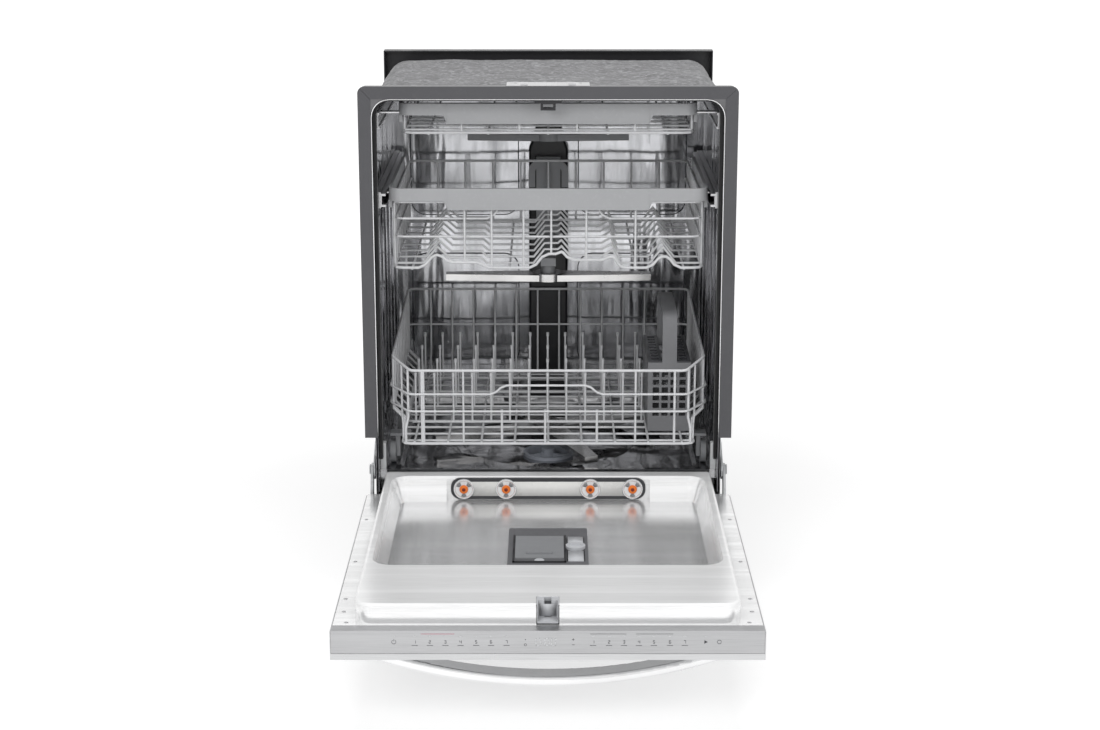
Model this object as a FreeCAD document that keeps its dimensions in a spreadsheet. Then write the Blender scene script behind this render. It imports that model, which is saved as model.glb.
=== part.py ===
import FreeCAD, Part
import math
import os
import re

import Sketcher
from FreeCAD import Placement, Rotation, Vector

# Built-in dishwasher, door open, racks in.
# X runs to the right, Y into the cabinet and Z up from the floor, all in millimetres.
# The origin lies on the floor, midway between the tip of the open door and the back of the cabinet.

SIZES = {
    # cabinet
    "front_width": 603,         # over the side trims
    "frame_low": 276,           # lower end of the side trims
    "trim_width": 20,           # dark trim seen from the front
    "trim_thick": 2.5,
    "frame_thick": 20,          # bright frame behind the trim, front to back
    "frame_radius": 11,         # outer corner of frame and trim
    "mouth_radius": 30,         # corner of the frame's opening
    "cabinet_depth": 548,       # front plane to the back of the rear frame
    "side_thick": 1.5,          # lower side plates
    "side_low": 40,
    "kick_space": 100,          # free depth under the open door
    "kick_roof": 155,           # height of that free space
    # tub
    "tub_low": 172,
    "tub_radius": 28,
    "tub_wall": 1.2,
    "rib_high": 2.5,            # ribs pressed into the tub's sides
    "rib_wide": 26,
    "panel_press": 3,           # raised panels of the back wall
    "sheet": 1.5,               # other folded steel
    "sill_back": 38,            # front plane to the sill of the tub floor
    "ledge_top": 210,           # runway of the lower rack's wheels
    "ledge_width": 30,
    "pan_drop": 14,             # main floor below the runway
    "sink_radius": 152,
    "sink_drop": 12,
    "sump_radius": 48,
    "pot_wall": 3,
    "hub_radius": 13,           # post that carries the lower wash arm
    "cup_radius": 43.25,
    "inlet_radius": 10.4,
    "seal_thick": 5,
    "seal_width": 12,
    "seal_back": 24,            # front plane to the seal
    "blanket_thick": 9,
    "blanket_low": 300,
    "rear_frame_width": 30,
    "gap": 0.3,                 # seat clearance between separate pieces
    # fittings of the cabinet
    "bracket_width": 132,
    "bracket_deep": 46,
    "bracket_hole": 2.6,
    "outlet_radius": 9,         # drain pump's hose stub
    "hose_port": 20,            # holes for the hoses in the rear frame
    "gland_radius": 11,
    "gland_deep": 14,
    "strike_width": 24,
    "strike_plate": 43,
    "strike_drop": 18,
    "duct_width": 71,
    "duct_deep": 24,
    "foot_radius": 19,
    "foot_pad": 12,
    "stud_radius": 5,
    "foot_front": 122,          # front plane to the front feet
    "tray_floor": 34,
    "tray_height": 26,
    "tray_wall": 3,
    "kick_top": 106,
    # door, seen lying open
    "door_reach": 606,          # front plane to the tip of the open door
    "hinge_back": 32,           # front plane to the hinge axis
    "door_start": 36,           # hinge axis to the near edge of the door's body
    "hinge_high": 212,
    "door_clear": 4,            # top of the shut door to the top of the frame
    "pin_radius": 6,
    "pin_gap": 0.05,
    "arm_thick": 4,
    "skin_below": 75,           # hinge axis to the outer face
    "skin_thick": 1.2,
    "skin_tail": 60,            # outer skin beyond the hinge axis
    "flange_below": 32,         # hinge axis to the liner's flange
    "liner_wall": 1.2,
    "plateau_below": 2,
    "plateau_inset": 24,        # door tip to the raised part of the liner
    "plateau_strip": 157,       # raised strip before the basin
    "basin_near": 31,           # hinge axis to the basin
    "basin_deep": 40,
    "basin_slope": 15,          # how far each side of the basin leans in
    "panel_high": 34,           # control panel, on the door's tip
    "panel_thick": 20,
    "panel_recess": 0.4,        # the panel's face lies behind its steel rim
    "handle_rise": 61,          # outer face to the crown of the handle
    "handle_thick": 16,
    "handle_wide": 34,
    "handle_inset": 46,         # door tip to the handle
    "latch_width": 32,
    "latch_length": 32,
    "bar_length": 322,
    "bar_height": 36,
    "bar_thick": 5,
    "nozzle_radius": 17,
    "nozzle_high": 2.5,
    "nozzle_near": 69.6,
    "nozzle_far": 139.5,
    "dispenser_width": 122,
    "dispenser_length": 170,
    "dispenser_inset": 246,     # door tip to the dispenser
    "dispenser_rise": 15,       # above the basin's floor
    "cup_width": 69,
    "cup_length": 92,
    "cup_deep": 34,
    "cap_radius": 15,
    # wire work
    "wire_thick": 4.6,          # rims and frames
    "rod_thick": 3.6,           # inner wires and tines
    "weld": 0.4,                # crossing wires are pressed into each other by this
    "bend_radius": 14,
    # lower rack
    "lower_front": -2,          # front plane to the front wires, less than 0 is in the door's basin
    "lower_chamfer_x": 33,
    "lower_chamfer_y": 54,
    "lower_floor": 267,
    "lower_rim_front": 391,
    "lower_rim_corner": 401,
    "lower_rim_rear": 420,
    "lower_mid": 352,
    "lower_mid_rise": 15,
    "lower_low": 323,
    "lower_inset": 18,          # how far the walls jog in above the floor
    "lower_jog": 292,           # height of the jog
    "lower_pitch": 39.5,
    "wheel_radius": 20,
    "wheel_wide": 9,
    "wheel_axle": 4,
    "tine_tall": 86,
    "tine_pitch": 31,
    # cutlery basket
    "basket_width": 71,
    "basket_front": 60,
    "basket_length": 182,
    "basket_tall": 118,
    "lid_thick": 2,
    "basket_wall": 2.2,
    "basket_handle_tall": 84,
    "basket_handle_wide": 24,
    # upper rack
    "upper_floor": 553,
    "upper_low": 604,
    "upper_rim": 634,
    "upper_pitch": 40,
    "band_low": 650,
    "band_high": 685,
    "band_front": 36,
    "band_thick": 5,
    "band_deep": 330,
    "cover_half": 163,          # half the length of a band's raised middle
    "cover_thick": 1.5,
    "band_step": 14,            # the band's ends are this much shallower at the front
    "middle_arm_low": 485,
    # third rack
    "third_front": 62,
    "third_pitch": 44,
    # telescopic rails
    "rail_front": 40,
    "rail_high": 26,
    "rail_thick": 5,
    "rail_stand": 4,            # how far the rails stand off the tub, to pass the seal
    "upper_rail_low": 652,
    # lower wash arm
    "lower_arm_low": 212,
    "arm_tall": 13,
    "arm_wide": 46,
}

# Sizes that follow the ones above, each with its own clearance.
FOLLOWS = {
    "front_top": "(hinge_high + hinge_back + door_reach + door_clear)",
    "plinth_width": "(front_width - 28)",       # cabinet below the trims
    "tub_width": "(front_width - 43)",
    "tub_top": "(front_top - 21)",
    "tub_depth": "(cabinet_depth - 36)",        # front plane to the inside of the back wall
    "blanket_back": "(cabinet_depth - 54)",
    "rear_frame_back": "(cabinet_depth - 28)",  # front plane to the front of the rear frame
    "sink_back": "(tub_depth / 2 - 8)",         # front plane to the middle of the filter basin
    "sump_back": "(sink_back - 44)",
    "arm_hub_back": "(tub_depth / 2 + 12)",     # front plane to the spin axis of the wash arms
    "duct_top": "(tub_top - 107)",
    "foot_rear": "(cabinet_depth - 58)",
    "foot_side": "(front_width / 2 - 56.5)",
    "plateau_width": "(front_width - 63)",
    "basin_width": "(plateau_width - 24)",
    "handle_radius": "(((front_width / 2 - 1.5) ^ 2 + handle_rise ^ 2) / (2 * handle_rise))",
    "lower_back": "(tub_depth - 32)",
    "lower_rack_width": "(tub_width - 44)",
    "wheel_track": "(tub_width - 38)",          # between the middles of the wheels
    "basket_left": "(lower_rack_width / 2 - 92)",
    "upper_back": "(tub_depth - 50)",
    "band_width": "(tub_width - 42)",
    "third_band_width": "(tub_width - 78)",
    "third_back": "(tub_depth - 42)",
    "third_floor": "(tub_top - 61)",
    "third_rim": "(third_floor + 34)",
    "third_band_low": "(third_floor + 15)",
    "third_band_high": "(third_floor + 48)",
    "third_rail_low": "(third_floor + 9)",
    "rail_length": "(tub_depth - 72)",
    "middle_arm_radius": "(tub_depth / 2 - 78)",
    "lower_arm_radius": "(tub_depth / 2 - 44)",
}

doc = FreeCAD.newDocument("Dishwasher")
sheet = doc.addObject("Spreadsheet::Sheet", "Sizes")
for row, (alias, number) in enumerate(SIZES.items(), start=1):
    sheet.set(f"A{row}", alias.replace("_", " "))
    sheet.set(f"B{row}", str(number))
    sheet.setAlias(f"B{row}", alias)
doc.recompute()

# Places that several pieces share, as formulas of the sheet's sizes.
FRONT = "((door_reach - cabinet_depth) / 2)"
BACK = f"({FRONT} + cabinet_depth)"
AXIS_Y = f"({FRONT} + hinge_back)"
TIP = f"({FRONT} - door_reach)"
DOOR_LONG = "(door_reach + hinge_back)"
TUB_X = "(tub_width / 2)"
TRIM_INSIDE = "(front_width / 2 - trim_width)"
ARM_Y = f"({FRONT} + arm_hub_back)"

finished = []


def formula(text):
    """Point the sizes in a formula at the sheet; sizes that follow others are written out."""
    def swap(word):
        if word[0] in FOLLOWS:
            return formula(FOLLOWS[word[0]])
        return f"Sizes.{word[0]}" if word[0] in SIZES else word[0]

    return re.sub(r"\b[a-z]+(?:_[a-z]+)*\b", swap, text)


def mm(text):
    """The present value of a formula."""
    return float(sheet.evalExpression(formula(str(text))))


def tie(item, target, text):
    item.setExpression(target, formula(str(text)))


def back(distance):
    """Y of a place given by its distance behind the front plane."""
    return f"({FRONT} + {distance})"


def out(distance):
    """Y of a place on the open door, by its distance from the hinge axis."""
    return f"({AXIS_Y} - ({distance}))"


def below(distance):
    """Z of a place on the open door, by its depth below the hinge axis."""
    return f"(hinge_high - ({distance}))"


def middle(width, centre="0"):
    """A range of the given width round its centre."""
    return (f"({centre} - ({width}) / 2)", f"({centre} + ({width}) / 2)")


def finish(item, label):
    """Name a sub-part; its label is its file's name."""
    item.Label = label
    finished.append(item)
    return item


# ---------------------------------------------------------------- primitives and booleans

def box(name, x, y, z):
    item = doc.addObject("Part::Box", name)
    for side, place, (low, high) in zip(("Length", "Width", "Height"), "xyz", (x, y, z)):
        tie(item, side, f"({high}) - ({low})")
        tie(item, f"Placement.Base.{place}", low)
    return item


AXES = {"x": Rotation(Vector(0, 1, 0), 90), "y": Rotation(Vector(1, 0, 0), -90), "z": Rotation()}


def rod(name, axis, radius, start, length):
    """A cylinder along an axis; start is the middle of its first face."""
    item = doc.addObject("Part::Cylinder", name)
    item.Placement = Placement(Vector(), AXES[axis])
    tie(item, "Radius", radius)
    tie(item, "Height", length)
    for place, text in zip("xyz", start):
        tie(item, f"Placement.Base.{place}", text)
    return item


def cut(name, base, tool):
    item = doc.addObject("Part::Cut", name)
    item.Base = base
    item.Tool = tool
    return item


def fuse(name, *pieces):
    item = doc.addObject("Part::MultiFuse", name)
    item.Shapes = list(pieces)
    return item


def group(name, *pieces):
    """Several equal pieces that share one node."""
    item = doc.addObject("Part::Compound", name)
    item.Links = list(pieces)
    return item


def mirrored(name, piece):
    item = doc.addObject("Part::Mirroring", name)
    item.Source = piece
    item.Normal = (1, 0, 0)
    return item


def pair(label, piece):
    """A left and a right piece in one node."""
    return finish(group(label, piece, mirrored(f"{label}_other", piece)), label)


def from_shape(label, shape):
    """A sub-part whose form Part's own functions make."""
    item = doc.addObject("Part::Feature", label)
    item.Shape = shape
    item.Placement = Placement()
    return finish(item, label)


# ---------------------------------------------------------------- bodies and sketches

NORMAL = {"XY_Plane": "z", "XZ_Plane": "y", "YZ_Plane": "x"}


def body(name):
    return doc.addObject("PartDesign::Body", name)


def sketch(owner, plane, place):
    """A sketch on one of the body's own origin planes, moved along the plane's normal to a place."""
    item = owner.newObject("Sketcher::SketchObject", f"{owner.Name}_sketch")
    origin = next(part for part in owner.Origin.OriginFeatures if part.Role == plane)
    item.AttachmentSupport = [(origin, "")]
    item.MapMode = "FlatFace"
    tie(item, "AttachmentOffset.Base.z", f"-({place})" if plane == "XZ_Plane" else place)
    return item


def fixed_point(item, geometry, vertex, x, y):
    """Hold a vertex at a place given by two formulas."""
    for kind, text in (("DistanceX", x), ("DistanceY", y)):
        if mm(text) == 0:
            line = -2 if kind == "DistanceX" else -1
            item.addConstraint(Sketcher.Constraint("PointOnObject", geometry, vertex, line))
            continue
        index = item.addConstraint(Sketcher.Constraint(kind, -1, 1, geometry, vertex, mm(text)))
        tie(item, f"Constraints[{index}]", text)


def polygon(item, points):
    """A closed outline of straight lines through points given by formulas."""
    places = [Vector(mm(x), mm(y), 0) for x, y in points]
    first = item.GeometryCount
    count = len(places)
    for index, place in enumerate(places):
        item.addGeometry(Part.LineSegment(place, places[(index + 1) % count]))
    for index in range(count):
        after = first + (index + 1) % count
        item.addConstraint(Sketcher.Constraint("Coincident", first + index, 2, after, 1))
        fixed_point(item, first + index, 1, *points[index])


def rectangle(item, x, y):
    polygon(item, [(x[0], y[0]), (x[1], y[0]), (x[1], y[1]), (x[0], y[1])])


def circle(item, x, y, radius):
    index = item.addGeometry(Part.Circle(Vector(mm(x), mm(y), 0), Vector(0, 0, 1), mm(radius)))
    fixed_point(item, index, 3, x, y)
    number = item.addConstraint(Sketcher.Constraint("Radius", index, mm(radius)))
    tie(item, f"Constraints[{number}]", radius)


def outline(item, points, radii):
    """A closed outline of level and upright lines; radii gives the rounded corners by their number."""
    sharp = [Vector(mm(x), mm(y), 0) for x, y in points]
    count = len(sharp)
    starts, ends, arcs = [], [], {}
    for index, corner in enumerate(sharp):
        arriving = (corner - sharp[index - 1]).normalize()
        leaving = (sharp[(index + 1) % count] - corner).normalize()
        radius = mm(radii[index]) if index in radii else 0
        ends.append(corner - arriving * radius)
        starts.append(corner + leaving * radius)
        if radius:
            centre = corner - arriving * radius + leaving * radius
            arcs[index] = (centre, radius, arriving.cross(leaving).z > 0)
    first = item.GeometryCount
    for index in range(count):
        item.addGeometry(Part.LineSegment(starts[index], ends[(index + 1) % count]))
        level = abs(starts[index].y - ends[(index + 1) % count].y) < 1e-6
        item.addConstraint(Sketcher.Constraint("Horizontal" if level else "Vertical", first + index))
        kind, text = ("DistanceY", points[index][1]) if level else ("DistanceX", points[index][0])
        if mm(text) == 0:
            item.addConstraint(Sketcher.Constraint("PointOnObject", first + index, 1, -1 if level else -2))
        else:
            number = item.addConstraint(Sketcher.Constraint(kind, -1, 1, first + index, 1, mm(text)))
            tie(item, f"Constraints[{number}]", text)
    for index in range(count):
        before = first + (index - 1) % count
        if index not in arcs:
            item.addConstraint(Sketcher.Constraint("Coincident", before, 2, first + index, 1))
            continue
        centre, radius, left_turn = arcs[index]
        near, far = (ends[index], starts[index]) if left_turn else (starts[index], ends[index])
        opening, closing = (math.atan2(place.y - centre.y, place.x - centre.x) for place in (near, far))
        if closing < opening:
            closing += 2 * math.pi
        whole = Part.Circle(centre, Vector(0, 0, 1), radius)
        arc = item.addGeometry(Part.ArcOfCircle(whole, opening, closing))
        arrival, departure = (1, 2) if left_turn else (2, 1)
        item.addConstraint(Sketcher.Constraint("Tangent", before, 2, arc, arrival))
        item.addConstraint(Sketcher.Constraint("Tangent", arc, departure, first + index, 1))
        number = item.addConstraint(Sketcher.Constraint("Radius", arc, mm(radii[index])))
        tie(item, f"Constraints[{number}]", radii[index])


def rounded(item, x, z, radius):
    """A rectangle with four equal corners."""
    corners = [(x[0], z[0]), (x[1], z[0]), (x[1], z[1]), (x[0], z[1])]
    outline(item, corners, dict.fromkeys(range(4), radius))


def arch(item, half_width, low, high, wall, radius, mouth=None):
    """A band up one side, over the top and down the other; mouth is its inside radius, if not even."""
    inside = f"({half_width} - {wall})"
    points = [
        (f"-{half_width}", low), (f"-{half_width}", high), (half_width, high), (half_width, low),
        (inside, low), (inside, f"{high} - {wall}"), (f"-{inside}", f"{high} - {wall}"), (f"-{inside}", low),
    ]
    inside_radius = mouth or f"{radius} - {wall}"
    outline(item, points, {1: radius, 2: radius, 5: inside_radius, 6: inside_radius})


def pad(owner, plane, span, draw):
    """Extrude what draw() sketches between the two ends of span."""
    low, high = span
    item = sketch(owner, plane, high if plane == "XZ_Plane" else low)
    draw(item)
    feature = owner.newObject("PartDesign::Pad", f"{owner.Name}_pad")
    feature.Profile = item
    tie(feature, "Length", f"({high}) - ({low})")
    doc.recompute()
    return feature


def pocket(owner, plane, span, draw, lean=0):
    """Cut what draw() sketches between the two ends of span, from its open end inwards."""
    low, high = span
    item = sketch(owner, plane, low if plane == "XZ_Plane" else high)
    draw(item)
    before = owner.Shape.Volume
    feature = owner.newObject("PartDesign::Pocket", f"{owner.Name}_pocket")
    feature.Profile = item
    tie(feature, "Length", f"({high}) - ({low})")
    feature.TaperAngle = lean
    doc.recompute()
    assert owner.Shape.Volume < before, f"{feature.Name} cuts nothing"
    return feature


def hollow(owner, wall, facing):
    """Turn the body into a sheet of one thickness, open on the flat sides that face the given way."""
    last = owner.Tip
    names = [f"Face{number}" for number, face in enumerate(last.Shape.Faces, start=1)
             if face.normalAt(0, 0).dot(facing) > 0.999]
    feature = owner.newObject("PartDesign::Thickness", f"{owner.Name}_sheet")
    feature.Base = (last, names)
    tie(feature, "Value", wall)
    feature.Reversed = 1
    doc.recompute()
    return feature


def soften(owner, radius, wanted):
    """Round the edges of the body's last feature that wanted() picks."""
    last = owner.Tip
    names = [f"Edge{number}" for number, edge in enumerate(last.Shape.Edges, start=1) if wanted(edge)]
    feature = owner.newObject("PartDesign::Fillet", f"{owner.Name}_round")
    feature.Base = (last, names)
    tie(feature, "Radius", radius)
    doc.recompute()
    return feature


def runs_along(axis):
    """Pick straight edges along one axis."""
    def test(edge):
        straight = edge.Curve.TypeId == "Part::GeomLine"
        return straight and abs(edge.tangentAt(edge.FirstParameter).dot(axis)) > 0.999
    return test


# ---------------------------------------------------------------- wires

CHORD_TURN = math.radians(38)   # the most that a bent wire turns at one mitre, about
MITRED = 1                      # how a swept wire takes a corner


def bent_path(points, bend):
    """Straight runs whose corners are taken in short chords of a tangent arc."""
    spots = [points[0]]
    for before, corner, after in zip(points, points[1:], points[2:]):
        arriving = (corner - before).normalize()
        leaving = (after - corner).normalize()
        turn = arriving.getAngle(leaving)
        room = 0.48 * min((corner - before).Length, (after - corner).Length)
        reach = min(bend * math.tan(turn / 2), room)
        start = corner - arriving * reach
        centre = start + (leaving - arriving * math.cos(turn)).normalize() * (reach / math.tan(turn / 2))
        chords = max(1, round(turn / CHORD_TURN))
        for step in range(chords + 1):
            swing = Rotation(arriving.cross(leaving), math.degrees(turn * step / chords))
            spots.append(centre + swing.multVec(start - centre))
    return Part.makePolygon(spots + [points[-1]])


def wire(points, thick, bend=True):
    """A round wire through a list of places, mitred at each small turn; with no bend its corners stay."""
    places = [Vector(*point) for point in points]
    along = (places[1] - places[0]).normalize()
    if len(places) == 2:
        return Part.makeCylinder(thick / 2, (places[1] - places[0]).Length, places[0], along)
    path = bent_path(places, mm("bend_radius")) if bend else Part.makePolygon(places)
    section = Part.Wire(Part.makeCircle(thick / 2, places[0], along))
    return path.makePipeShell([section], True, False, MITRED)


def weld(pieces):
    """Join crossing wires into one solid."""
    return pieces[0].multiFuse(pieces[1:])


def spaced(low, high, pitch):
    """Even places from low to high, about one pitch apart."""
    count = max(1, round((high - low) / pitch))
    return [low + (high - low) * index / count for index in range(count + 1)]


# ================================================================ cabinet

HOSE_END = f"({BACK} - 8)"
TERMINAL_X = "(plinth_width / 2 - 97.5)"
INLET_X = f"-{TERMINAL_X}"
INLET_Z = "(tray_floor + tray_wall + 42)"
DRAIN_X = "-(sump_radius + 46)"
DRAIN_Z = "(tray_floor + tray_wall + 62)"


def make_front_frame():
    """Bright frame round the tub's mouth with its dark trim: two upright strips and a top one, mitred."""
    frame = body("front_frame")
    trim_back = back("trim_thick")
    pad(frame, "XZ_Plane", (trim_back, back("trim_thick + frame_thick")),
        lambda item: arch(item, "(front_width / 2 - 1)", "frame_low", "front_top - 1",
                          "(trim_width - 1.5)", "frame_radius", "mouth_radius"))
    hollow_y = (back("trim_thick + sheet"), back("trim_thick + frame_thick"))
    pocket(frame, "XZ_Plane", hollow_y, lambda item: arch(
        item, "(front_width / 2 - 1 - sheet)", "frame_low + sheet", "front_top - 1 - sheet",
        "(trim_width - 1.5 - 2 * sheet)", "(frame_radius - sheet)", "(mouth_radius + sheet)"))
    finish(frame, "front_frame")

    inside = TRIM_INSIDE
    trim_y = (FRONT, trim_back)

    def at_top(edge):
        return runs_along(Vector(0, 1, 0))(edge) and edge.CenterOfMass.z > mm("front_top") - 1

    side = body("trim_side")
    pad(side, "XZ_Plane", trim_y,
        lambda item: rectangle(item, (inside, "front_width / 2"), ("frame_low", "front_top")))
    soften(side, "frame_radius", lambda edge: at_top(edge) and edge.CenterOfMass.x > mm(inside) + 1)
    pocket(side, "XZ_Plane", trim_y, lambda item: polygon(item, [
        (f"{inside} - 1", "front_top - trim_width - gap - 1"), ("front_width / 2 + 1", "front_top - gap + 1"),
        (f"{inside} - 1", "front_top + 1")]))
    top = body("trim_top")
    pad(top, "XZ_Plane", trim_y, lambda item: rectangle(
        item, ("-front_width / 2", "front_width / 2"), ("front_top - trim_width", "front_top")))
    soften(top, "frame_radius", at_top)

    def mitres(item):
        low = "front_top - trim_width - 1"
        for sign in ("", "-"):
            polygon(item, [(f"{sign}({inside} - gap - 1)", low), (f"{sign}(front_width / 2 + 1)", low),
                           (f"{sign}(front_width / 2 + 1)", "front_top + gap + 1")])

    pocket(top, "XZ_Plane", trim_y, mitres)
    finish(group("trims", side, mirrored("trim_side_other", side), top), "frame_trims")


def make_tub():
    """Pressed tub: a wrapped sheet for sides and roof, a back wall and a stepped floor pan."""
    wrapper = body("tub_wrapper")
    pad(wrapper, "XZ_Plane", (back("trim_thick"), back("tub_depth")),
        lambda item: arch(item, f"({TUB_X} + tub_wall)", "tub_low", "tub_top + tub_wall", "tub_wall",
                          "(tub_radius + tub_wall)"))
    ribs = [back(f"84 + {number} * 72") for number in range(6)]
    for x in ((f"-{TUB_X}", f"-({TUB_X} - rib_high)"), (f"{TUB_X} - rib_high", TUB_X)):
        pad(wrapper, "XY_Plane", ("lower_floor", "upper_rail_low - 20"),
            lambda item, x=x: [rectangle(item, x, middle("rib_wide", y)) for y in ribs])
    finish(wrapper, "tub_wrapper")

    rear = body("tub_back")
    pad(rear, "XZ_Plane", (back("tub_depth"), back("tub_depth + tub_wall")),
        lambda item: outline(item, [
            (f"-({TUB_X} + tub_wall)", "tub_low"), (f"-({TUB_X} + tub_wall)", "tub_top + tub_wall"),
            (f"{TUB_X} + tub_wall", "tub_top + tub_wall"), (f"{TUB_X} + tub_wall", "tub_low")],
            {1: "tub_radius + tub_wall", 2: "tub_radius + tub_wall"}))
    for low, high in (("lower_floor", "lower_floor + 215"), ("upper_floor", "upper_floor + 225")):
        for x in (("-(tub_width / 2 - 26)", "-54"), ("54", "tub_width / 2 - 26")):
            pad(rear, "XZ_Plane", (back("tub_depth - panel_press"), back("tub_depth")),
                lambda item: rounded(item, x, (low, high), "tub_radius"))
    pressed = mm(back("tub_depth - panel_press")) + 0.01
    soften(rear, "panel_press - 0.5", lambda edge: edge.CenterOfMass.y < pressed)
    finish(rear, "tub_back")

    pan = body("tub_floor")
    pan_y = (back("sill_back"), back("tub_depth - gap"))
    pad(pan, "XY_Plane", ("tub_low", "ledge_top"),
        lambda item: rectangle(item, middle("(tub_width - 2 * gap)"), pan_y))
    inner_y = (back("sill_back + 8"), back("tub_depth - 14"))
    corners = {0: "tub_radius", 1: "tub_radius", 2: "tub_radius", 3: "tub_radius"}
    half = f"({TUB_X} - ledge_width)"
    pocket(pan, "XY_Plane", ("ledge_top - pan_drop", "ledge_top"), lambda item: outline(item, [
        (f"-{half}", inner_y[0]), (half, inner_y[0]), (half, inner_y[1]), (f"-{half}", inner_y[1])], corners),
        lean=-20)
    basin_floor = "ledge_top - pan_drop - sink_drop"
    pocket(pan, "XY_Plane", (basin_floor, "ledge_top - pan_drop"),
           lambda item: circle(item, "0", back("sink_back"), "sink_radius"), lean=-20)
    hollow(pan, "tub_wall", Vector(0, 0, -1))
    pocket(pan, "XY_Plane", ("tub_low", "ledge_top"),
           lambda item: circle(item, "0", back("sump_back"), "sump_radius"))
    finish(pan, "tub_floor")


def make_skins():
    """Seal inside the tub's mouth, felt blanket over the tub and black frame round its back."""
    seal = body("door_gasket")
    pad(seal, "XZ_Plane", (back("seal_back"), back("seal_back + seal_width")),
        lambda item: arch(item, f"({TUB_X} - gap)", "ledge_top + 22", "tub_top - gap", "seal_thick",
                          "(tub_radius - gap)"))
    finish(seal, "door_gasket")

    blanket = body("insulation_blanket")
    cover = "(tub_wall + gap + blanket_thick)"
    blanket_y = (back("trim_thick + frame_thick + gap"), back("blanket_back"))
    pad(blanket, "XZ_Plane", blanket_y, lambda item: arch(
        item, f"({TUB_X} + {cover})", "blanket_low", f"(tub_top + {cover})", "blanket_thick",
        f"(tub_radius + {cover})"))
    finish(blanket, "insulation_blanket")

    rear = body("rear_frame")
    pad(rear, "XZ_Plane", (back("rear_frame_back"), BACK),
        lambda item: rectangle(item, middle("front_width - 4"), ("tray_floor", "front_top")))
    window_x = middle("front_width - 4 - 2 * rear_frame_width")
    pocket(rear, "XZ_Plane", (back("rear_frame_back"), BACK),
           lambda item: rectangle(item, window_x, ("tray_floor + 90", "front_top - rear_frame_width")))
    pocket(rear, "XZ_Plane", (back("rear_frame_back"), back("cabinet_depth - 2")),
           lambda item: rectangle(item, middle("front_width - 8"), ("tray_floor + 2", "front_top - 2")))
    for x, z in ((INLET_X, INLET_Z), (DRAIN_X, DRAIN_Z)):
        pocket(rear, "XZ_Plane", (back("cabinet_depth - 2"), BACK),
               lambda item, x=x, z=z: circle(item, x, z, "hose_port"))
    finish(rear, "rear_frame")


def make_lower_cabinet():
    """Side plates, floor tray, kick plate and feet below the tub."""
    plate = body("side_plate")
    plate_x = ("plinth_width / 2 - side_thick", "plinth_width / 2")
    low_front = back("kick_space")
    pad(plate, "YZ_Plane", plate_x, lambda item: polygon(item, [
        (back("hinge_back"), "kick_roof"), (low_front, "kick_roof"), (low_front, "side_low"),
        (back("rear_frame_back - gap"), "side_low"), (back("rear_frame_back - gap"), "frame_low - 2"),
        (back("hinge_back"), "frame_low - 2")]))
    pair("side_plates", plate)

    tray = body("base_tray")
    tray_x = middle("plinth_width - 2 * side_thick - 2 * gap")
    tray_y = (low_front, back("rear_frame_back - gap"))
    tray_z = ("tray_floor", "tray_floor + tray_height")
    pad(tray, "XY_Plane", tray_z, lambda item: rectangle(item, tray_x, tray_y))
    pocket(tray, "XY_Plane", ("tray_floor + tray_wall", "tray_floor + tray_height"), lambda item: rectangle(
        item, middle("plinth_width - 2 * side_thick - 2 * gap - 2 * tray_wall"),
        (f"{low_front} + tray_wall", back("rear_frame_back - gap - tray_wall"))))
    for x in ("-foot_side", "foot_side"):
        for y in ("foot_front", "foot_rear"):
            pad(tray, "XY_Plane", tray_z,
                lambda item, x=x, y=y: circle(item, x, back(y), "2.4 * stud_radius"))
    for x in ("-foot_side", "foot_side"):
        for y in ("foot_front", "foot_rear"):
            pocket(tray, "XY_Plane", tray_z,
                   lambda item, x=x, y=y: circle(item, x, back(y), "stud_radius + pin_gap"))
    finish(tray, "base_tray")

    kick = body("kick_plate")
    kick_y = (back("kick_space - gap - sheet"), back("kick_space - gap"))
    pad(kick, "XY_Plane", ("foot_pad", "kick_top"),
        lambda item: rectangle(item, middle("plinth_width"), kick_y))
    finish(kick, "kick_plate")

    for end in ("front", "rear"):
        foot = body(f"foot_{end}")
        place = ("foot_side", back(f"foot_{end}"))
        pad(foot, "XY_Plane", ("0", "foot_pad"), lambda item: circle(item, *place, "foot_radius"))
        soften(foot, "3", lambda edge: edge.CenterOfMass.z > mm("foot_pad") - 0.1)
        pad(foot, "XY_Plane", ("foot_pad", "tray_floor + tray_height + 12"),
            lambda item: circle(item, *place, "stud_radius"))
        pair(f"{end}_feet", foot)


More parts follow.
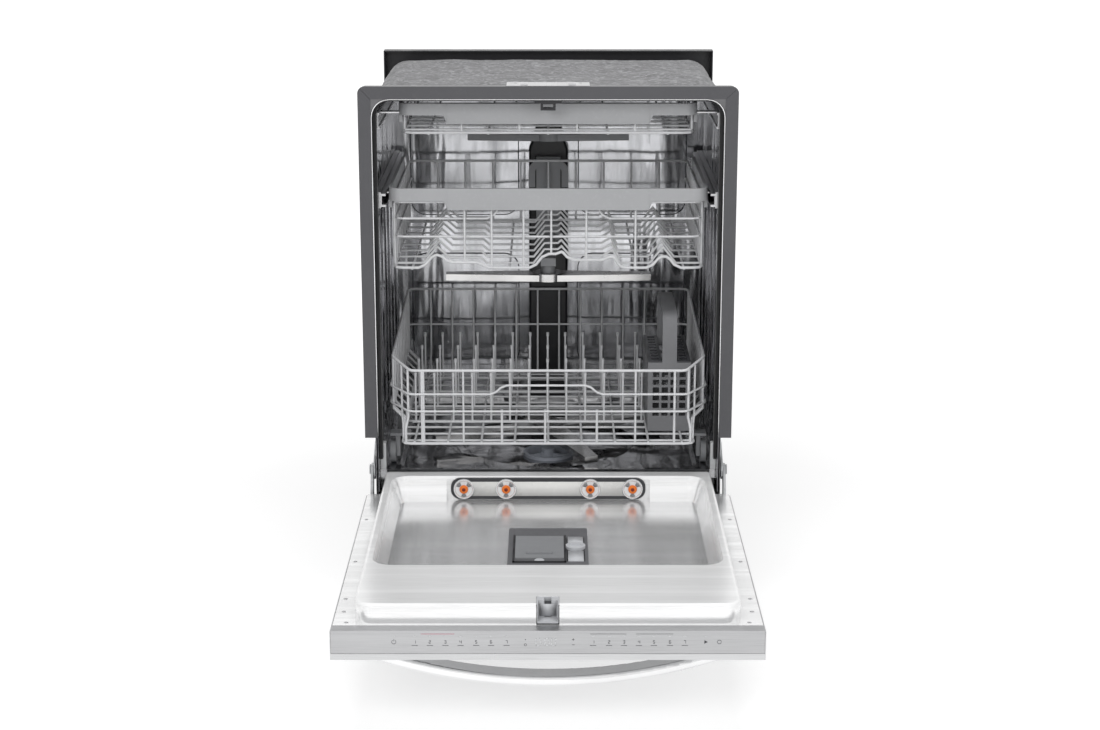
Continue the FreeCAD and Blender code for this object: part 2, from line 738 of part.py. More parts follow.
def make_wash_system():
    """Sump, pumps, valve, filter and the water duct on the back wall."""
    pan_floor = "(ledge_top - pan_drop - sink_drop)"
    under = f"({pan_floor} - tub_wall)"
    middle_y = back("sump_back")
    rim = rod("sump_rim", "z", "sump_radius + 12", ("0", middle_y, f"{under} - gap - pot_wall"), "pot_wall")
    pot_low = "(tray_floor + tray_wall + 40)"
    pot_tall = f"{under} - gap - pot_wall - {pot_low}"
    pot = rod("sump_pot", "z", "sump_radius", ("0", middle_y, pot_low), pot_tall)
    inside = rod("sump_inside", "z", "sump_radius - pot_wall", ("0", middle_y, f"{pot_low} + pot_wall"),
                 f"{under} - {pot_low}")
    pot_shell = cut("sump_shell", fuse("sump_walls", rim, pot), inside)
    hub_tall = f"lower_arm_low - 2 * gap - {pan_floor}"
    hub = rod("hub_post", "z", "hub_radius", ("0", ARM_Y, f"{pan_floor} + gap"), hub_tall)
    finish(group("sump_and_hub", pot_shell, hub), "sump")

    pump_z = DRAIN_Z
    motor = rod("pump_motor", "x", "42", ("sump_radius + gap + 20", middle_y, pump_z), "112")
    snout = rod("pump_snout", "x", "18", ("sump_radius + gap", middle_y, pump_z), "20")
    saddle = box("pump_saddle", ("sump_radius + 60", "sump_radius + 100"), middle("50", middle_y),
                 ("tray_floor + tray_wall", f"{pump_z} - 20"))
    finish(fuse("wash_pump", motor, snout, saddle), "wash_pump")
    drain = rod("drain_motor", "x", "26", ("-(sump_radius + gap + 12 + 78)", middle_y, pump_z), "78")
    drain_snout = rod("drain_snout", "x", "14", ("-(sump_radius + gap + 12)", middle_y, pump_z), "12")
    outlet = rod("drain_outlet", "y", "outlet_radius", (DRAIN_X, f"{middle_y} + 20", pump_z),
                 f"{HOSE_END} - ({middle_y} + 20)")
    finish(fuse("drain_parts", drain, drain_snout, outlet), "drain_pump")

    valve_back = back("rear_frame_back - 2 * gap - tray_wall")
    valve = box("valve_block", middle("40", INLET_X), (f"({valve_back} - 56)", valve_back),
                ("tray_floor + tray_wall", "tray_floor + tray_wall + 56"))
    nipple_long = f"{HOSE_END} - {valve_back}"
    nipple = rod("valve_nipple", "y", "inlet_radius", (INLET_X, valve_back, INLET_Z), nipple_long)
    finish(fuse("inlet_valve", valve, nipple), "inlet_valve")
    box_front = back("kick_space + 8")
    shell = box("terminal_shell", middle("80", TERMINAL_X), (box_front, f"{box_front} + 50"),
                ("tray_floor + tray_wall", "tray_floor + tray_wall + 58"))
    gland_start = (TERMINAL_X, f"{box_front} + 50 - gland_deep", "tray_floor + tray_wall + 34")
    gland = rod("terminal_gland", "y", "gland_radius", gland_start, "gland_deep + 1")
    finish(cut("terminal", shell, gland), "terminal_box")

    plate = body("filter_plate")
    plate_z = (f"{pan_floor} + gap", f"{pan_floor} + gap + 1.6")
    pad(plate, "XY_Plane", plate_z, lambda item: circle(item, "0", back("sink_back"), "sink_radius - 12"))
    pocket(plate, "XY_Plane", plate_z, lambda item: circle(item, "0", middle_y, "cup_radius + pin_gap"))
    pocket(plate, "XY_Plane", plate_z, lambda item: circle(item, "0", ARM_Y, "hub_radius + gap"))
    finish(plate, "filter_plate")

    cup = body("filter_cup")
    pad(cup, "XY_Plane", (f"{pan_floor} - 42", f"{pan_floor} + 7"),
        lambda item: circle(item, "0", middle_y, "cup_radius"))
    pocket(cup, "XY_Plane", (f"{pan_floor} - 38", f"{pan_floor} + 7"),
           lambda item: circle(item, "0", middle_y, "37"))
    for turn in (90, 210, 330):
        along = Vector(math.cos(math.radians(turn)), math.sin(math.radians(turn)), 0)
        across = Vector(-along.y, along.x, 0)
        spots = [along * reach + across * side for reach, side in ((2, -3), (38, -3), (38, 3), (2, 3))]
        corners = [(f"{spot.x:.3f}", f"({middle_y} + ({spot.y:.3f}))") for spot in spots]
        pad(cup, "XY_Plane", (f"{pan_floor} - 38", f"{pan_floor} + 5"),
            lambda item, corners=corners: polygon(item, corners))
    pad(cup, "XY_Plane", (f"{pan_floor} - 20", f"{pan_floor} + 13"),
        lambda item: circle(item, "0", middle_y, "12"))
    finish(cup, "filter_cup")

    duct = body("duct_column")
    duct_y = (back("tub_depth - duct_deep"), back("tub_depth - gap"))
    half = "(duct_width / 2)"
    pad(duct, "XZ_Plane", duct_y, lambda item: polygon(item, [
        (f"-{half}", "ledge_top + gap"), (half, "ledge_top + gap"), (half, "duct_top - 46"),
        (f"{half} - 12", "duct_top - 14"), (f"{half} - 12", "duct_top"), (f"-({half} - 12)", "duct_top"),
        (f"-({half} - 12)", "duct_top - 14"), (f"-{half}", "duct_top - 46")]))
    soften(duct, "5", lambda edge: edge.CenterOfMass.y < mm(duct_y[0]) + 0.1)
    top = "(duct_top + 4 + arm_tall + gap)"
    pipe = box("pipe_run", middle("20"), (f"{ARM_Y} - 14", duct_y[1]), (top, f"{top} + 13"))
    drop = box("pipe_drop", middle("40"), duct_y, ("duct_top", top))
    finish(group("ducts", duct, fuse("top_pipe", pipe, drop)), "rear_duct")


def make_cabinet_fittings():
    """Worktop bracket, door strike, corner blocks and fixed rail channels."""
    bracket = body("bracket_plate")
    bracket_y = (back("trim_thick + 2"), back("trim_thick + 2 + bracket_deep"))
    high = "(front_top - 1 + gap)"
    pad(bracket, "XY_Plane", (high, f"{high} + 1.5"),
        lambda item: rectangle(item, middle("bracket_width"), bracket_y))
    for x in ("-bracket_width / 2 + 14", "bracket_width / 2 - 14"):
        pocket(bracket, "XY_Plane", (high, f"{high} + 1.5"),
               lambda item, x=x: circle(item, x, back("trim_thick + 36"), "bracket_hole"))
    clip = box("bracket_clip", ("bracket_width / 2 - 34", "bracket_width / 2 - 22"),
               (back("trim_thick + 8"), back("trim_thick + 22")), (f"{high} + 1.5", f"{high} + 5"))
    finish(group("bracket_set", bracket, clip, mirrored("bracket_clip_other", clip)), "top_bracket")

    strike = body("door_strike")
    pad(strike, "XZ_Plane", (back("9"), back("23")),
        lambda item: rectangle(item, middle("strike_width"), ("tub_top - strike_drop", "tub_top - gap")))
    pocket(strike, "XZ_Plane", (back("9"), back("23")), lambda item: rectangle(
        item, middle("strike_width - 8"), ("tub_top - strike_drop + 3.5", "tub_top - 8")))
    pad(strike, "XZ_Plane", (back("9"), back("23")), lambda item: rectangle(
        item, middle("strike_plate"), ("front_top - 27.7", "tub_top - gap")))
    finish(strike, "door_strike")

    block = body("corner_block")
    pad(block, "XY_Plane", ("ledge_top + gap", "ledge_top + 46"), lambda item: rectangle(
        item, (f"{TUB_X} - gap - 9", f"{TUB_X} - gap"), (back("sill_back"), back("sill_back + 15"))))
    soften(block, "3", lambda edge: edge.CenterOfMass.z > mm("ledge_top + 46") - 0.1)
    pair("corner_blocks", block)

    rail_y = (back("rail_front"), back("rail_front + rail_length"))
    channels = []
    for name, low in (("upper", "upper_rail_low"), ("third", "third_rail_low")):
        channel = body(f"{name}_channel")
        outer_x = (f"{TUB_X} - gap - rail_stand - rail_thick", f"{TUB_X} - gap")
        pad(channel, "XZ_Plane", rail_y, lambda item: rectangle(item, outer_x, (low, f"{low} + rail_high")))
        pocket(channel, "XZ_Plane", rail_y, lambda item: rectangle(
            item, (outer_x[0], f"{outer_x[1]} - rail_stand - 1.5"), (f"{low} + 2", f"{low} + rail_high - 2")))
        channels += [channel, mirrored(f"{name}_channel_other", channel)]
    finish(group("channels", *channels), "rail_channels")


def make_hinge_brackets():
    """Fixed hinge brackets on the side plates, each with its pin."""
    inner = "(plinth_width / 2 + gap)"
    plate = body("hinge_bracket")
    pad(plate, "YZ_Plane", (inner, f"{inner} + 2.5"), lambda item: polygon(item, [
        (f"{AXIS_Y} - 4", "hinge_high - 16"), (f"{AXIS_Y} + 60", "hinge_high - 16"),
        (f"{AXIS_Y} + 60", "hinge_high + 40"), (f"{AXIS_Y} + 24", "hinge_high + 40"),
        (f"{AXIS_Y} - 14", "hinge_high + 14"), (f"{AXIS_Y} - 14", "hinge_high - 8")]))
    pad(plate, "YZ_Plane", (f"{inner} + 2.5", f"{inner} + 2.5 + 1 + arm_thick + 1"),
        lambda item: circle(item, AXIS_Y, "hinge_high", "pin_radius"))
    pad(plate, "YZ_Plane", (f"{inner} + 2.5 + 1 + arm_thick + 1", f"{inner} + 2.5 + 1 + arm_thick + 2.5"),
        lambda item: circle(item, AXIS_Y, "hinge_high", "pin_radius + 2.5"))
    pair("hinge_brackets", plate)


# ================================================================ door, lying open


BASIN_FAR = f"({DOOR_LONG} - plateau_inset - plateau_strip)"
BASIN_NEAR = "basin_near"
BASIN_FLOOR = "(plateau_below + basin_deep)"
BAR_SEAT = f"({BASIN_NEAR} + 2)"


def door_y(near, far):
    """Range in Y between two distances from the hinge axis."""
    return (out(far), out(near))


def door_z(upper, lower):
    """Range in Z between two depths below the hinge axis."""
    return (below(lower), below(upper))


def make_door_skin():
    """Outer steel panel with folded sides; its tail runs on below the hinge axis."""
    skin = body("door_outer_panel")
    wide = middle("front_width")
    pad(skin, "XY_Plane", door_z("skin_below - 12", "skin_below"),
        lambda item: rectangle(item, wide, door_y("-skin_tail", DOOR_LONG)))
    pad(skin, "XY_Plane", door_z("flange_below + 2", "skin_below - 12"),
        lambda item: rectangle(item, wide, door_y("door_start", DOOR_LONG)))
    inside = middle("front_width - 2 * skin_thick")
    pocket(skin, "XY_Plane", door_z("flange_below + 2", "skin_below - skin_thick"),
           lambda item: rectangle(item, inside, door_y("door_start", f"{DOOR_LONG} - skin_thick")))
    pocket(skin, "XY_Plane", door_z("skin_below - 12", "skin_below - skin_thick"),
           lambda item: rectangle(item, inside, door_y("skin_thick - skin_tail", "door_start")))
    lip = "(flange_below + panel_high)"
    pocket(skin, "XZ_Plane", (TIP, f"({TIP} + 2 * skin_thick)"),
           lambda item: rectangle(item, middle("front_width - 2 * skin_thick"), door_z("flange_below", lip)))
    finish(skin, "door_outer_panel")


def make_door_liner():
    """Pressed inner liner: flange, raised plateau, basin and the notch for the latch."""
    liner = body("door_inner_liner")
    skirt = "(flange_below + 14)"
    flange_x = middle("front_width - 2 * skin_thick - 2")
    flange_far = f"({DOOR_LONG} - panel_thick - gap)"
    pad(liner, "XY_Plane", door_z("flange_below", skirt),
        lambda item: rectangle(item, flange_x, door_y("door_start", flange_far)))
    x = middle("plateau_width")
    y = door_y("4", f"{DOOR_LONG} - plateau_inset")
    pad(liner, "XY_Plane", door_z("plateau_below", skirt), lambda item: outline(item, [
        (x[0], y[0]), (x[1], y[0]), (x[1], y[1]), (x[0], y[1])], {0: "24", 1: "24", 2: "6", 3: "6"}))
    top_edges = mm(below("plateau_below")) - 0.1
    soften(liner, "5", lambda edge: edge.CenterOfMass.z > top_edges)
    basin_x = middle("basin_width")
    basin_y = door_y(BASIN_NEAR, BASIN_FAR)
    lean = -math.degrees(math.atan2(mm("basin_slope"), mm("basin_deep")))
    pocket(liner, "XY_Plane", door_z("plateau_below", BASIN_FLOOR),
           lambda item: rounded(item, basin_x, basin_y, "30"), lean=lean)
    pocket(liner, "XY_Plane", door_z("plateau_below", BASIN_FLOOR), lambda item: rectangle(
        item, middle("bar_length + 14"), door_y(BAR_SEAT, f"{BAR_SEAT} + 44")))
    notch_far = f"({DOOR_LONG} - plateau_inset)"
    pocket(liner, "XY_Plane", door_z("plateau_below", "flange_below"), lambda item: rectangle(
        item, middle("latch_width"), door_y(f"{notch_far} - latch_length", notch_far)))
    hollow(liner, "liner_wall", Vector(0, 0, -1))
    pocket(liner, "XY_Plane", door_z("plateau_below", skirt), lambda item: rectangle(
        item, middle("dispenser_width - 18"), dispenser_y("9")))
    finish(liner, "door_inner_liner")


def dispenser_y(inset="0"):
    far = f"({DOOR_LONG} - dispenser_inset)"
    return door_y(f"{far} - dispenser_length + {inset}", f"{far} - {inset}")


def make_door_front():
    """Control panel on the door's upper edge and the arched handle."""
    panel = body("control_panel")
    lip = "(flange_below + panel_high)"
    pad(panel, "XZ_Plane", (f"({TIP} + panel_recess)", f"({TIP} + panel_thick)"), lambda item: rectangle(
        item, middle("front_width - 2 * skin_thick - 2 * gap"), door_z("flange_below", f"{lip} - gap")))
    finish(panel, "control_panel")

    handle = body("door_handle")
    face = below("skin_below")
    centre = f"({face} - handle_rise + handle_radius)"

    def draw(item):
        arcs = []
        for radius in ("handle_radius", "handle_radius - handle_thick"):
            size = mm(radius)
            half = math.acos((mm(centre) - mm(face)) / size)
            down = 1.5 * math.pi
            curve = Part.Circle(Vector(0, mm(centre), 0), Vector(0, 0, 1), size)
            arcs.append(item.addGeometry(Part.ArcOfCircle(curve, down - half, down + half)))
            number = item.addConstraint(Sketcher.Constraint("Radius", arcs[-1], size))
            tie(item, f"Constraints[{number}]", radius)
            fixed_point(item, arcs[-1], 3, "0", centre)
        outer, inner = arcs
        for end in (1, 2):
            near, far = (item.getPoint(arc, end) for arc in (outer, inner))
            line = item.addGeometry(Part.LineSegment(near, far))
            item.addConstraint(Sketcher.Constraint("Horizontal", line))
            item.addConstraint(Sketcher.Constraint("Coincident", line, 1, outer, end))
            item.addConstraint(Sketcher.Constraint("Coincident", line, 2, inner, end))
            number = item.addConstraint(Sketcher.Constraint("DistanceY", -1, 1, line, 1, mm(face)))
            tie(item, f"Constraints[{number}]", face)

    pad(handle, "XZ_Plane", (f"({TIP} + handle_inset)", f"({TIP} + handle_inset + handle_wide)"), draw)
    soften(handle, "6", lambda edge: edge.Curve.TypeId == "Part::GeomCircle")
    finish(handle, "door_handle")


def make_latch():
    """Latch housing in the liner's notch, open towards the strike, and its claw."""
    far = f"({DOOR_LONG} - plateau_inset)"
    near = f"({far} - latch_length)"
    housing = body("door_latch")
    pad(housing, "XY_Plane", door_z("plateau_below + 1", "flange_below - gap"), lambda item: rectangle(
        item, middle("latch_width - 2 * gap"), door_y(f"{near} + gap", far)))
    pocket(housing, "XY_Plane", door_z("plateau_below + 1", "flange_below - 4"), lambda item: rectangle(
        item, middle("strike_width + 3"), door_y(f"{near} + 14", far)))
    pocket(housing, "XY_Plane", door_z("plateau_below + 1", "flange_below - 4"), lambda item: rectangle(
        item, middle("10"), door_y(f"{near} + 1.8", f"{near} + 14")))
    finish(housing, "door_latch")
    claw = body("latch_claw")
    claw_x = middle("9.2")
    corners = (("6", "21"), ("13", "21"), ("13", "12"), ("9", "7"), ("6", "7"))
    pad(claw, "YZ_Plane", claw_x,
        lambda item: polygon(item, [(out(f"{near} + {along}"), below(deep)) for along, deep in corners]))
    pad(claw, "YZ_Plane", claw_x, lambda item: circle(item, out(f"{near} + 9.5"), below("18"), "4"))
    finish(claw, "latch_claw")


def make_steam_bar():
    """Nozzle bar on the basin's end wall with four round nozzles."""
    bar = body("steam_bar")
    centre = "(plateau_below + 2 + bar_height / 2)"
    bar_y = door_y(f"{BAR_SEAT} + gap", f"{BAR_SEAT} + gap + bar_thick")
    bar_z = door_z(f"{centre} - bar_height / 2", f"{centre} + bar_height / 2")
    pad(bar, "XZ_Plane", bar_y, lambda item: rounded(item, middle("bar_length"), bar_z, "bar_height / 2 - 2"))
    finish(bar, "steam_bar")
    nozzles = []
    for number, x in enumerate(("-nozzle_far", "-nozzle_near", "nozzle_near", "nozzle_far"), start=1):
        face = (x, f"{bar_y[0]} - nozzle_high", below(centre))
        end = (x, f"{bar_y[0]} - 2 * nozzle_high", below(centre))
        plate = rod(f"nozzle_plate_{number}", "y", "nozzle_radius", face, "nozzle_high")
        tip = rod(f"nozzle_tip_{number}", "y", "nozzle_radius / 3", end, "nozzle_high")
        nozzles.append(fuse(f"nozzle_{number}", plate, tip))
    finish(group("nozzles", *nozzles), "steam_nozzles")


def make_dispenser():
    """Detergent and rinse-aid dispenser let into the basin's floor."""
    unit = body("dispenser_body")
    rise = f"({BASIN_FLOOR} - dispenser_rise)"
    deep = f"({rise} + cup_deep + 3)"
    pad(unit, "XY_Plane", door_z(f"{BASIN_FLOOR} - gap", deep), lambda item: rectangle(
        item, middle("dispenser_width - 19"), dispenser_y("9.5")))
    pad(unit, "XY_Plane", door_z(rise, f"{BASIN_FLOOR} - gap"), lambda item: rectangle(
        item, middle("dispenser_width"), dispenser_y()))
    soften(unit, "4", lambda edge: runs_along(Vector(0, 0, 1))(edge)
           and edge.CenterOfMass.z > mm(below(BASIN_FLOOR)))
    cup_far = f"({DOOR_LONG} - dispenser_inset - 32)"
    cup_x = middle("cup_width", "-13")
    pocket(unit, "XY_Plane", door_z(rise, f"{rise} + cup_deep"), lambda item: rectangle(
        item, cup_x, door_y(f"{cup_far} - cup_length", cup_far)))
    finish(unit, "dispenser_body")

    lid = body("dispenser_lid")
    pad(lid, "XY_Plane", door_z(f"{rise} - gap - 1.8", f"{rise} - gap"), lambda item: rectangle(
        item, middle("cup_width + 5", "-13"), door_y(f"{cup_far} - cup_length - 3", f"{cup_far} + 3")))
    pad(lid, "XY_Plane", door_z(f"{rise} - gap - 4.5", f"{rise} - gap - 1.8"), lambda item: rectangle(
        item, middle("cup_width - 30", "-13"), door_y(f"{cup_far} - 22", f"{cup_far} - 12")))
    finish(lid, "dispenser_lid")

    cap_y = out(f"{cup_far} - cup_length / 2")
    disc = rod("cap_disc", "z", "cap_radius", ("42", cap_y, below(f"{rise} - gap")), "4.5")
    grip = box("cap_grip", middle("2.4 * cap_radius / 2", "42"), middle("4", cap_y),
               door_z(f"{rise} - gap - 8", f"{rise} - gap - 4.5"))
    finish(fuse("cap_whole", disc, grip), "rinse_aid_cap")


def make_door_carriers():
    """Hinge arms that carry the door and the insulation pad inside it."""
    arm = body("hinge_arm")
    inner = "(plinth_width / 2 + gap + 2.5 + 1)"
    floor = "(skin_below - skin_thick - gap)"
    corners = [("-11", "-8"), ("-13", "6"), ("8", "68"), ("14", floor), ("150", floor), ("150", "52"),
               ("34", "52"), ("14", "0"), ("9", "-9")]
    pad(arm, "YZ_Plane", (inner, f"{inner} + arm_thick"),
        lambda item: polygon(item, [(out(a), below(b)) for a, b in corners]))
    pocket(arm, "YZ_Plane", (inner, f"{inner} + arm_thick"),
           lambda item: circle(item, AXIS_Y, "hinge_high", "pin_radius + pin_gap"))
    pair("hinge_arms", arm)

    quilt = body("door_insulation")
    quilt_z = door_z("flange_below + 14 + gap", "skin_below - skin_thick - gap")
    pad(quilt, "XY_Plane", quilt_z, lambda item: rectangle(
        item, middle("front_width - 40"), door_y("60", f"{DOOR_LONG} - panel_thick - 18")))
    pocket(quilt, "XY_Plane", quilt_z, lambda item: rectangle(
        item, middle("dispenser_width - 12"), dispenser_y("6")))
    finish(quilt, "door_insulation")


# ================================================================ racks

RIM = mm("wire_thick")
ROD = mm("rod_thick")
CLEAR = 0.15                    # wires that cross without a weld
LAYER = (ROD + CLEAR) / 2       # two layers of wires, above and below the rim's middle
POST_SLIM = 0.4                 # a post ends inside its rim, so it is a little thinner


def beside(path, distance):
    """A path moved to its right by a distance, its corners mitred; the heights stay."""
    moved = []
    for index, (x, y, z) in enumerate(path):
        sides = []
        if index > 0:
            sides.append(Vector(x - path[index - 1][0], y - path[index - 1][1], 0).normalize())
        if index < len(path) - 1:
            sides.append(Vector(path[index + 1][0] - x, path[index + 1][1] - y, 0).normalize())
        rights = [Vector(side.y, -side.x, 0) for side in sides]
        mean = (rights[0] + rights[-1]).normalize()
        reach = distance / mean.dot(rights[0])
        moved.append((x + mean.x * reach, y + mean.y * reach, z))
    return moved


def level(path, height):
    return [(x, y, height) for x, y, _ in path]


class Foot:
    """The rounded floor loop that a rack's uprights stand on; above it they jog out to the rim."""

    def __init__(self, half, front, rear, bend, jog=None):
        self.half, self.front, self.rear, self.bend, self.jog = half, front, rear, bend, jog

    def below(self, x, y):
        """The place on the loop that lies straight below or inwards of a place on the rim."""
        across, along = self.half - self.bend, (self.front + self.bend, self.rear - self.bend)
        core = Vector(max(-across, min(across, x)), max(along[0], min(along[1], y)), 0)
        return core + (Vector(x, y, 0) - core).normalize() * self.bend

    def upright(self, place, base, thick):
        x, y, top = place
        foot = self.below(x, y)
        if not self.jog or (foot - Vector(x, y, 0)).Length < 1:
            return wire([(x, y, base), (x, y, top)], thick)
        low, high = self.jog
        return wire([(foot.x, foot.y, base), (foot.x, foot.y, low), (x, y, high), (x, y, top)], thick, False)


def fence(path, foot, base, levels, posts, uprights, side=1):
    """One side of a rack: rim, level wires beside it, thick posts that carry them and thin uprights."""
    pieces = [wire(path, RIM)]
    pieces += [wire(beside(points, side * (ROD + CLEAR)), ROD) for points in levels]
    pieces += [foot.upright(place, base, RIM - POST_SLIM) for place in posts]
    pieces += [foot.upright(place, base, ROD) for place in uprights]
    return weld(pieces)


def crossing(loop, axis, value):
    """Where a line square to the axis cuts a closed outline, lowest and highest."""
    other = 1 - axis
    found = []
    for first, last in zip(loop, loop[1:]):
        low, high = sorted((first[axis], last[axis]))
        if low <= value <= high and high - low > 1e-6:
            share = (value - first[axis]) / (last[axis] - first[axis])
            found.append(first[other] + share * (last[other] - first[other]))
    return min(found), max(found)


def grating(loop, height, columns, rows, wave=None, step=LAYER):
    """A rack's floor: a rim loop, wires along X a step above its middle and wires along Y a step below it."""
    pieces = [wire([(x, y, height + rise) for x, y, rise in loop], RIM)]
    for x in columns:
        low, high = crossing(loop, 0, x)
        pieces.append(wire([(x, low, height - step), (x, high, height - step)], ROD))
    for y in rows:
        low, high = crossing(loop, 1, y)
        inner = [(x, y, height + step + rise) for x, rise in (wave or [])]
        pieces.append(wire([(low, y, height + step), *inner, (high, y, height + step)], ROD, False))
    return weld(pieces)


def closed_loop(half, front, rear):
    """Four sides round a rack's floor, starting and ending in the middle of the front."""
    start = (0, front, 0)
    return [start, (half, front, 0), (half, rear, 0), (-half, rear, 0), (-half, front, 0), start]


def between(first, last, pitch):
    """Even places strictly between two places, with the height carried along."""
    count = max(2, round(math.dist(first[:2], last[:2]) / pitch))
    return [tuple(a + (b - a) * step / count for a, b in zip(first, last)) for step in range(1, count)]


TIP_THICK = ROD + 1.4           # rounded cap of a tine
TIP_LONG = 7
LOWER_TALL = (-204, -139, 143, 207)      # front uprights up to the rim
LOWER_SHORT = (-76, -5, 80)             # and up to the lowest level wire
LOWER_STEP = (-88.8, -73.5, 66, 83.6)   # where the middle level wire steps up and down


def make_lower_rack():
    """Wire rack whose front bulges into the door's basin, with folding rows of tines."""
    half = mm("lower_rack_width / 2")
    share = half / 258
    front = mm(back("lower_front"))
    rear = mm(back("lower_back"))
    nose = half - mm("lower_chamfer_x")
    shoulder = front + mm("lower_chamfer_y")
    low_rim, corner_rim, rear_rim = mm("lower_rim_front"), mm("lower_rim_corner"), mm("lower_rim_rear")
    bend = mm("bend_radius")
    inset = mm("lower_inset")
    base = mm("lower_floor") + RIM / 2 + CLEAR
    low, mid = mm("lower_low"), mm("lower_mid")
    raised = mid + mm("lower_mid_rise")
    pitch = mm("lower_pitch")
    foot = Foot(half - inset, front, rear - inset, bend, (mm("lower_jog"), mm("lower_jog") + inset))

    nose_end = (nose - bend, front, low_rim)
    side_start = (half, shoulder + bend, corner_rim)
    side_end = (half, rear - 2 * bend, rear_rim)
    front_path = [(-nose_end[0], front, low_rim), nose_end]
    up_from, up_to, down_from, down_to = (x * share for x in LOWER_STEP)
    stepped = [(-nose_end[0], front, mid), (up_from, front, mid), (up_to, front, raised),
               (down_from, front, raised), (down_to, front, mid), (nose_end[0], front, mid)]
    posts = [(-nose_end[0] + 4, front, low_rim), (nose_end[0] - 4, front, low_rim)]
    posts += [(x * share, front, low + 2) for x in LOWER_SHORT]
    tall = [(x * share, front, low_rim) for x in LOWER_TALL]
    pieces = [fence(front_path, foot, base, [stepped, level(front_path, low)], posts, tall)]

    corner_path = [nose_end, (nose, front, low_rim), (half, shoulder, corner_rim), side_start]
    slant = mm("lower_chamfer_y / lower_chamfer_x")
    corner_posts = [(nose + 5, front + 5 * slant, low_rim + 2), (half, side_start[1] - 5, corner_rim)]
    corner_middle = ((nose + half) / 2, (front + shoulder) / 2, (low_rim + corner_rim) / 2)
    corner = fence(corner_path, foot, base, [level(corner_path, z) for z in (low, mid)], corner_posts,
                   [corner_middle])
    side_path = [side_start, side_end]
    side_posts = [(half, side_start[1] + 5, corner_rim), (half, side_end[1] - 5, rear_rim)]
    side = fence(side_path, foot, base, [level(side_path, z) for z in (low, mid)], side_posts,
                 between(*side_path, pitch))
    pieces += [corner, corner.mirror(Vector(), Vector(1, 0, 0)), side, side.mirror(Vector(), Vector(1, 0, 0))]

    rear_corner, rear_other = (half, rear, rear_rim), (-half, rear, rear_rim)
    rear_path = [side_end, rear_corner, rear_other, (-half, side_end[1], rear_rim)]
    rear_posts = [(x, side_end[1] + 5, rear_rim) for x in (half, -half)]
    pieces.append(fence(rear_path, foot, base, [level(rear_path, mid)], rear_posts,
                        between(rear_corner, rear_other, pitch)))

    edge, far = half - inset, rear - inset
    loop = closed_loop(edge, front, far)
    columns = spaced(-edge + 20, edge - 20, pitch * 1.35)
    rows = spaced(front + 24, far - 16, pitch)
    pieces.append(grating(loop, mm("lower_floor"), columns, rows, step=-LAYER))

    row_z = mm("lower_floor") + LAYER + ROD / 2 + RIM / 2 + mm("gap")
    tine_top = row_z + mm("tine_tall")
    first_row = mm(back("lower_front + 107"))
    left, right = -half + 34, mm("basket_left") - 8
    for number in range(4):
        y = first_row + number * (mm("tine_tall") + 9)
        rods = [wire([(left - 6, y, row_z), (right + 4, y, row_z)], RIM)]
        for x in spaced(left, right, mm("tine_pitch")):
            rods.append(wire([(x, y, row_z), (x, y, tine_top)], ROD))
            rods.append(wire([(x, y, tine_top - TIP_LONG), (x, y, tine_top)], TIP_THICK))
        if number < 2:
            pieces.append(weld(rods))
        else:
            from_shape(f"tine_row_{number - 1}", weld(rods))
    from_shape("lower_rack_frame", Part.makeCompound(pieces))


def make_lower_wheels():
    """Three pairs of wheels and the holders that carry them under the rack's sides."""
    holders = []
    axle_z = "(ledge_top + gap + wheel_radius)"
    seat = f"(lower_floor - {LAYER + ROD / 2} - gap)"
    rim = "(lower_rack_width / 2 - lower_inset)"
    rim_side = f"({rim} + wire_thick / 2 + gap)"
    for number in range(3):
        y = f"({back('lower_front')} + 84 + {number} * 178)"
        x = "(wheel_track / 2 - wheel_wide / 2)"
        plate = box(f"holder_plate_{number}", (f"{x} - 7", f"{x} - gap"), middle("18", y),
                    (f"{axle_z} - 8", seat))
        shelf = box(f"holder_shelf_{number}", (f"{rim} - 8", f"{x} + wheel_wide"), middle("26", y),
                    (f"{seat} - 4", seat))
        clip = box(f"holder_clip_{number}", (rim_side, f"{rim_side} + 2"), middle("12", y),
                   (f"{seat} - 4", "lower_floor"))
        pin_start = (f"{x} - gap", y, axle_z)
        pin = rod(f"holder_pin_{number}", "x", "wheel_axle - pin_gap", pin_start, "wheel_wide + 1")
        holders.append(fuse(f"holder_{number}", plate, shelf, clip, pin))
        tyre = rod(f"tyre_{number}", "x", "wheel_radius", (x, y, axle_z), "wheel_wide")
        bore = rod(f"bore_{number}", "x", "wheel_axle", (f"{x} - 1", y, axle_z), "wheel_wide + 2")
        pair(f"wheel_pair_{number + 1}", cut(f"wheel_{number + 1}", tyre, bore))
    left = [mirrored(f"{item.Name}_other", item) for item in holders]
    finish(group("holders", *holders, *left), "wheel_holders")


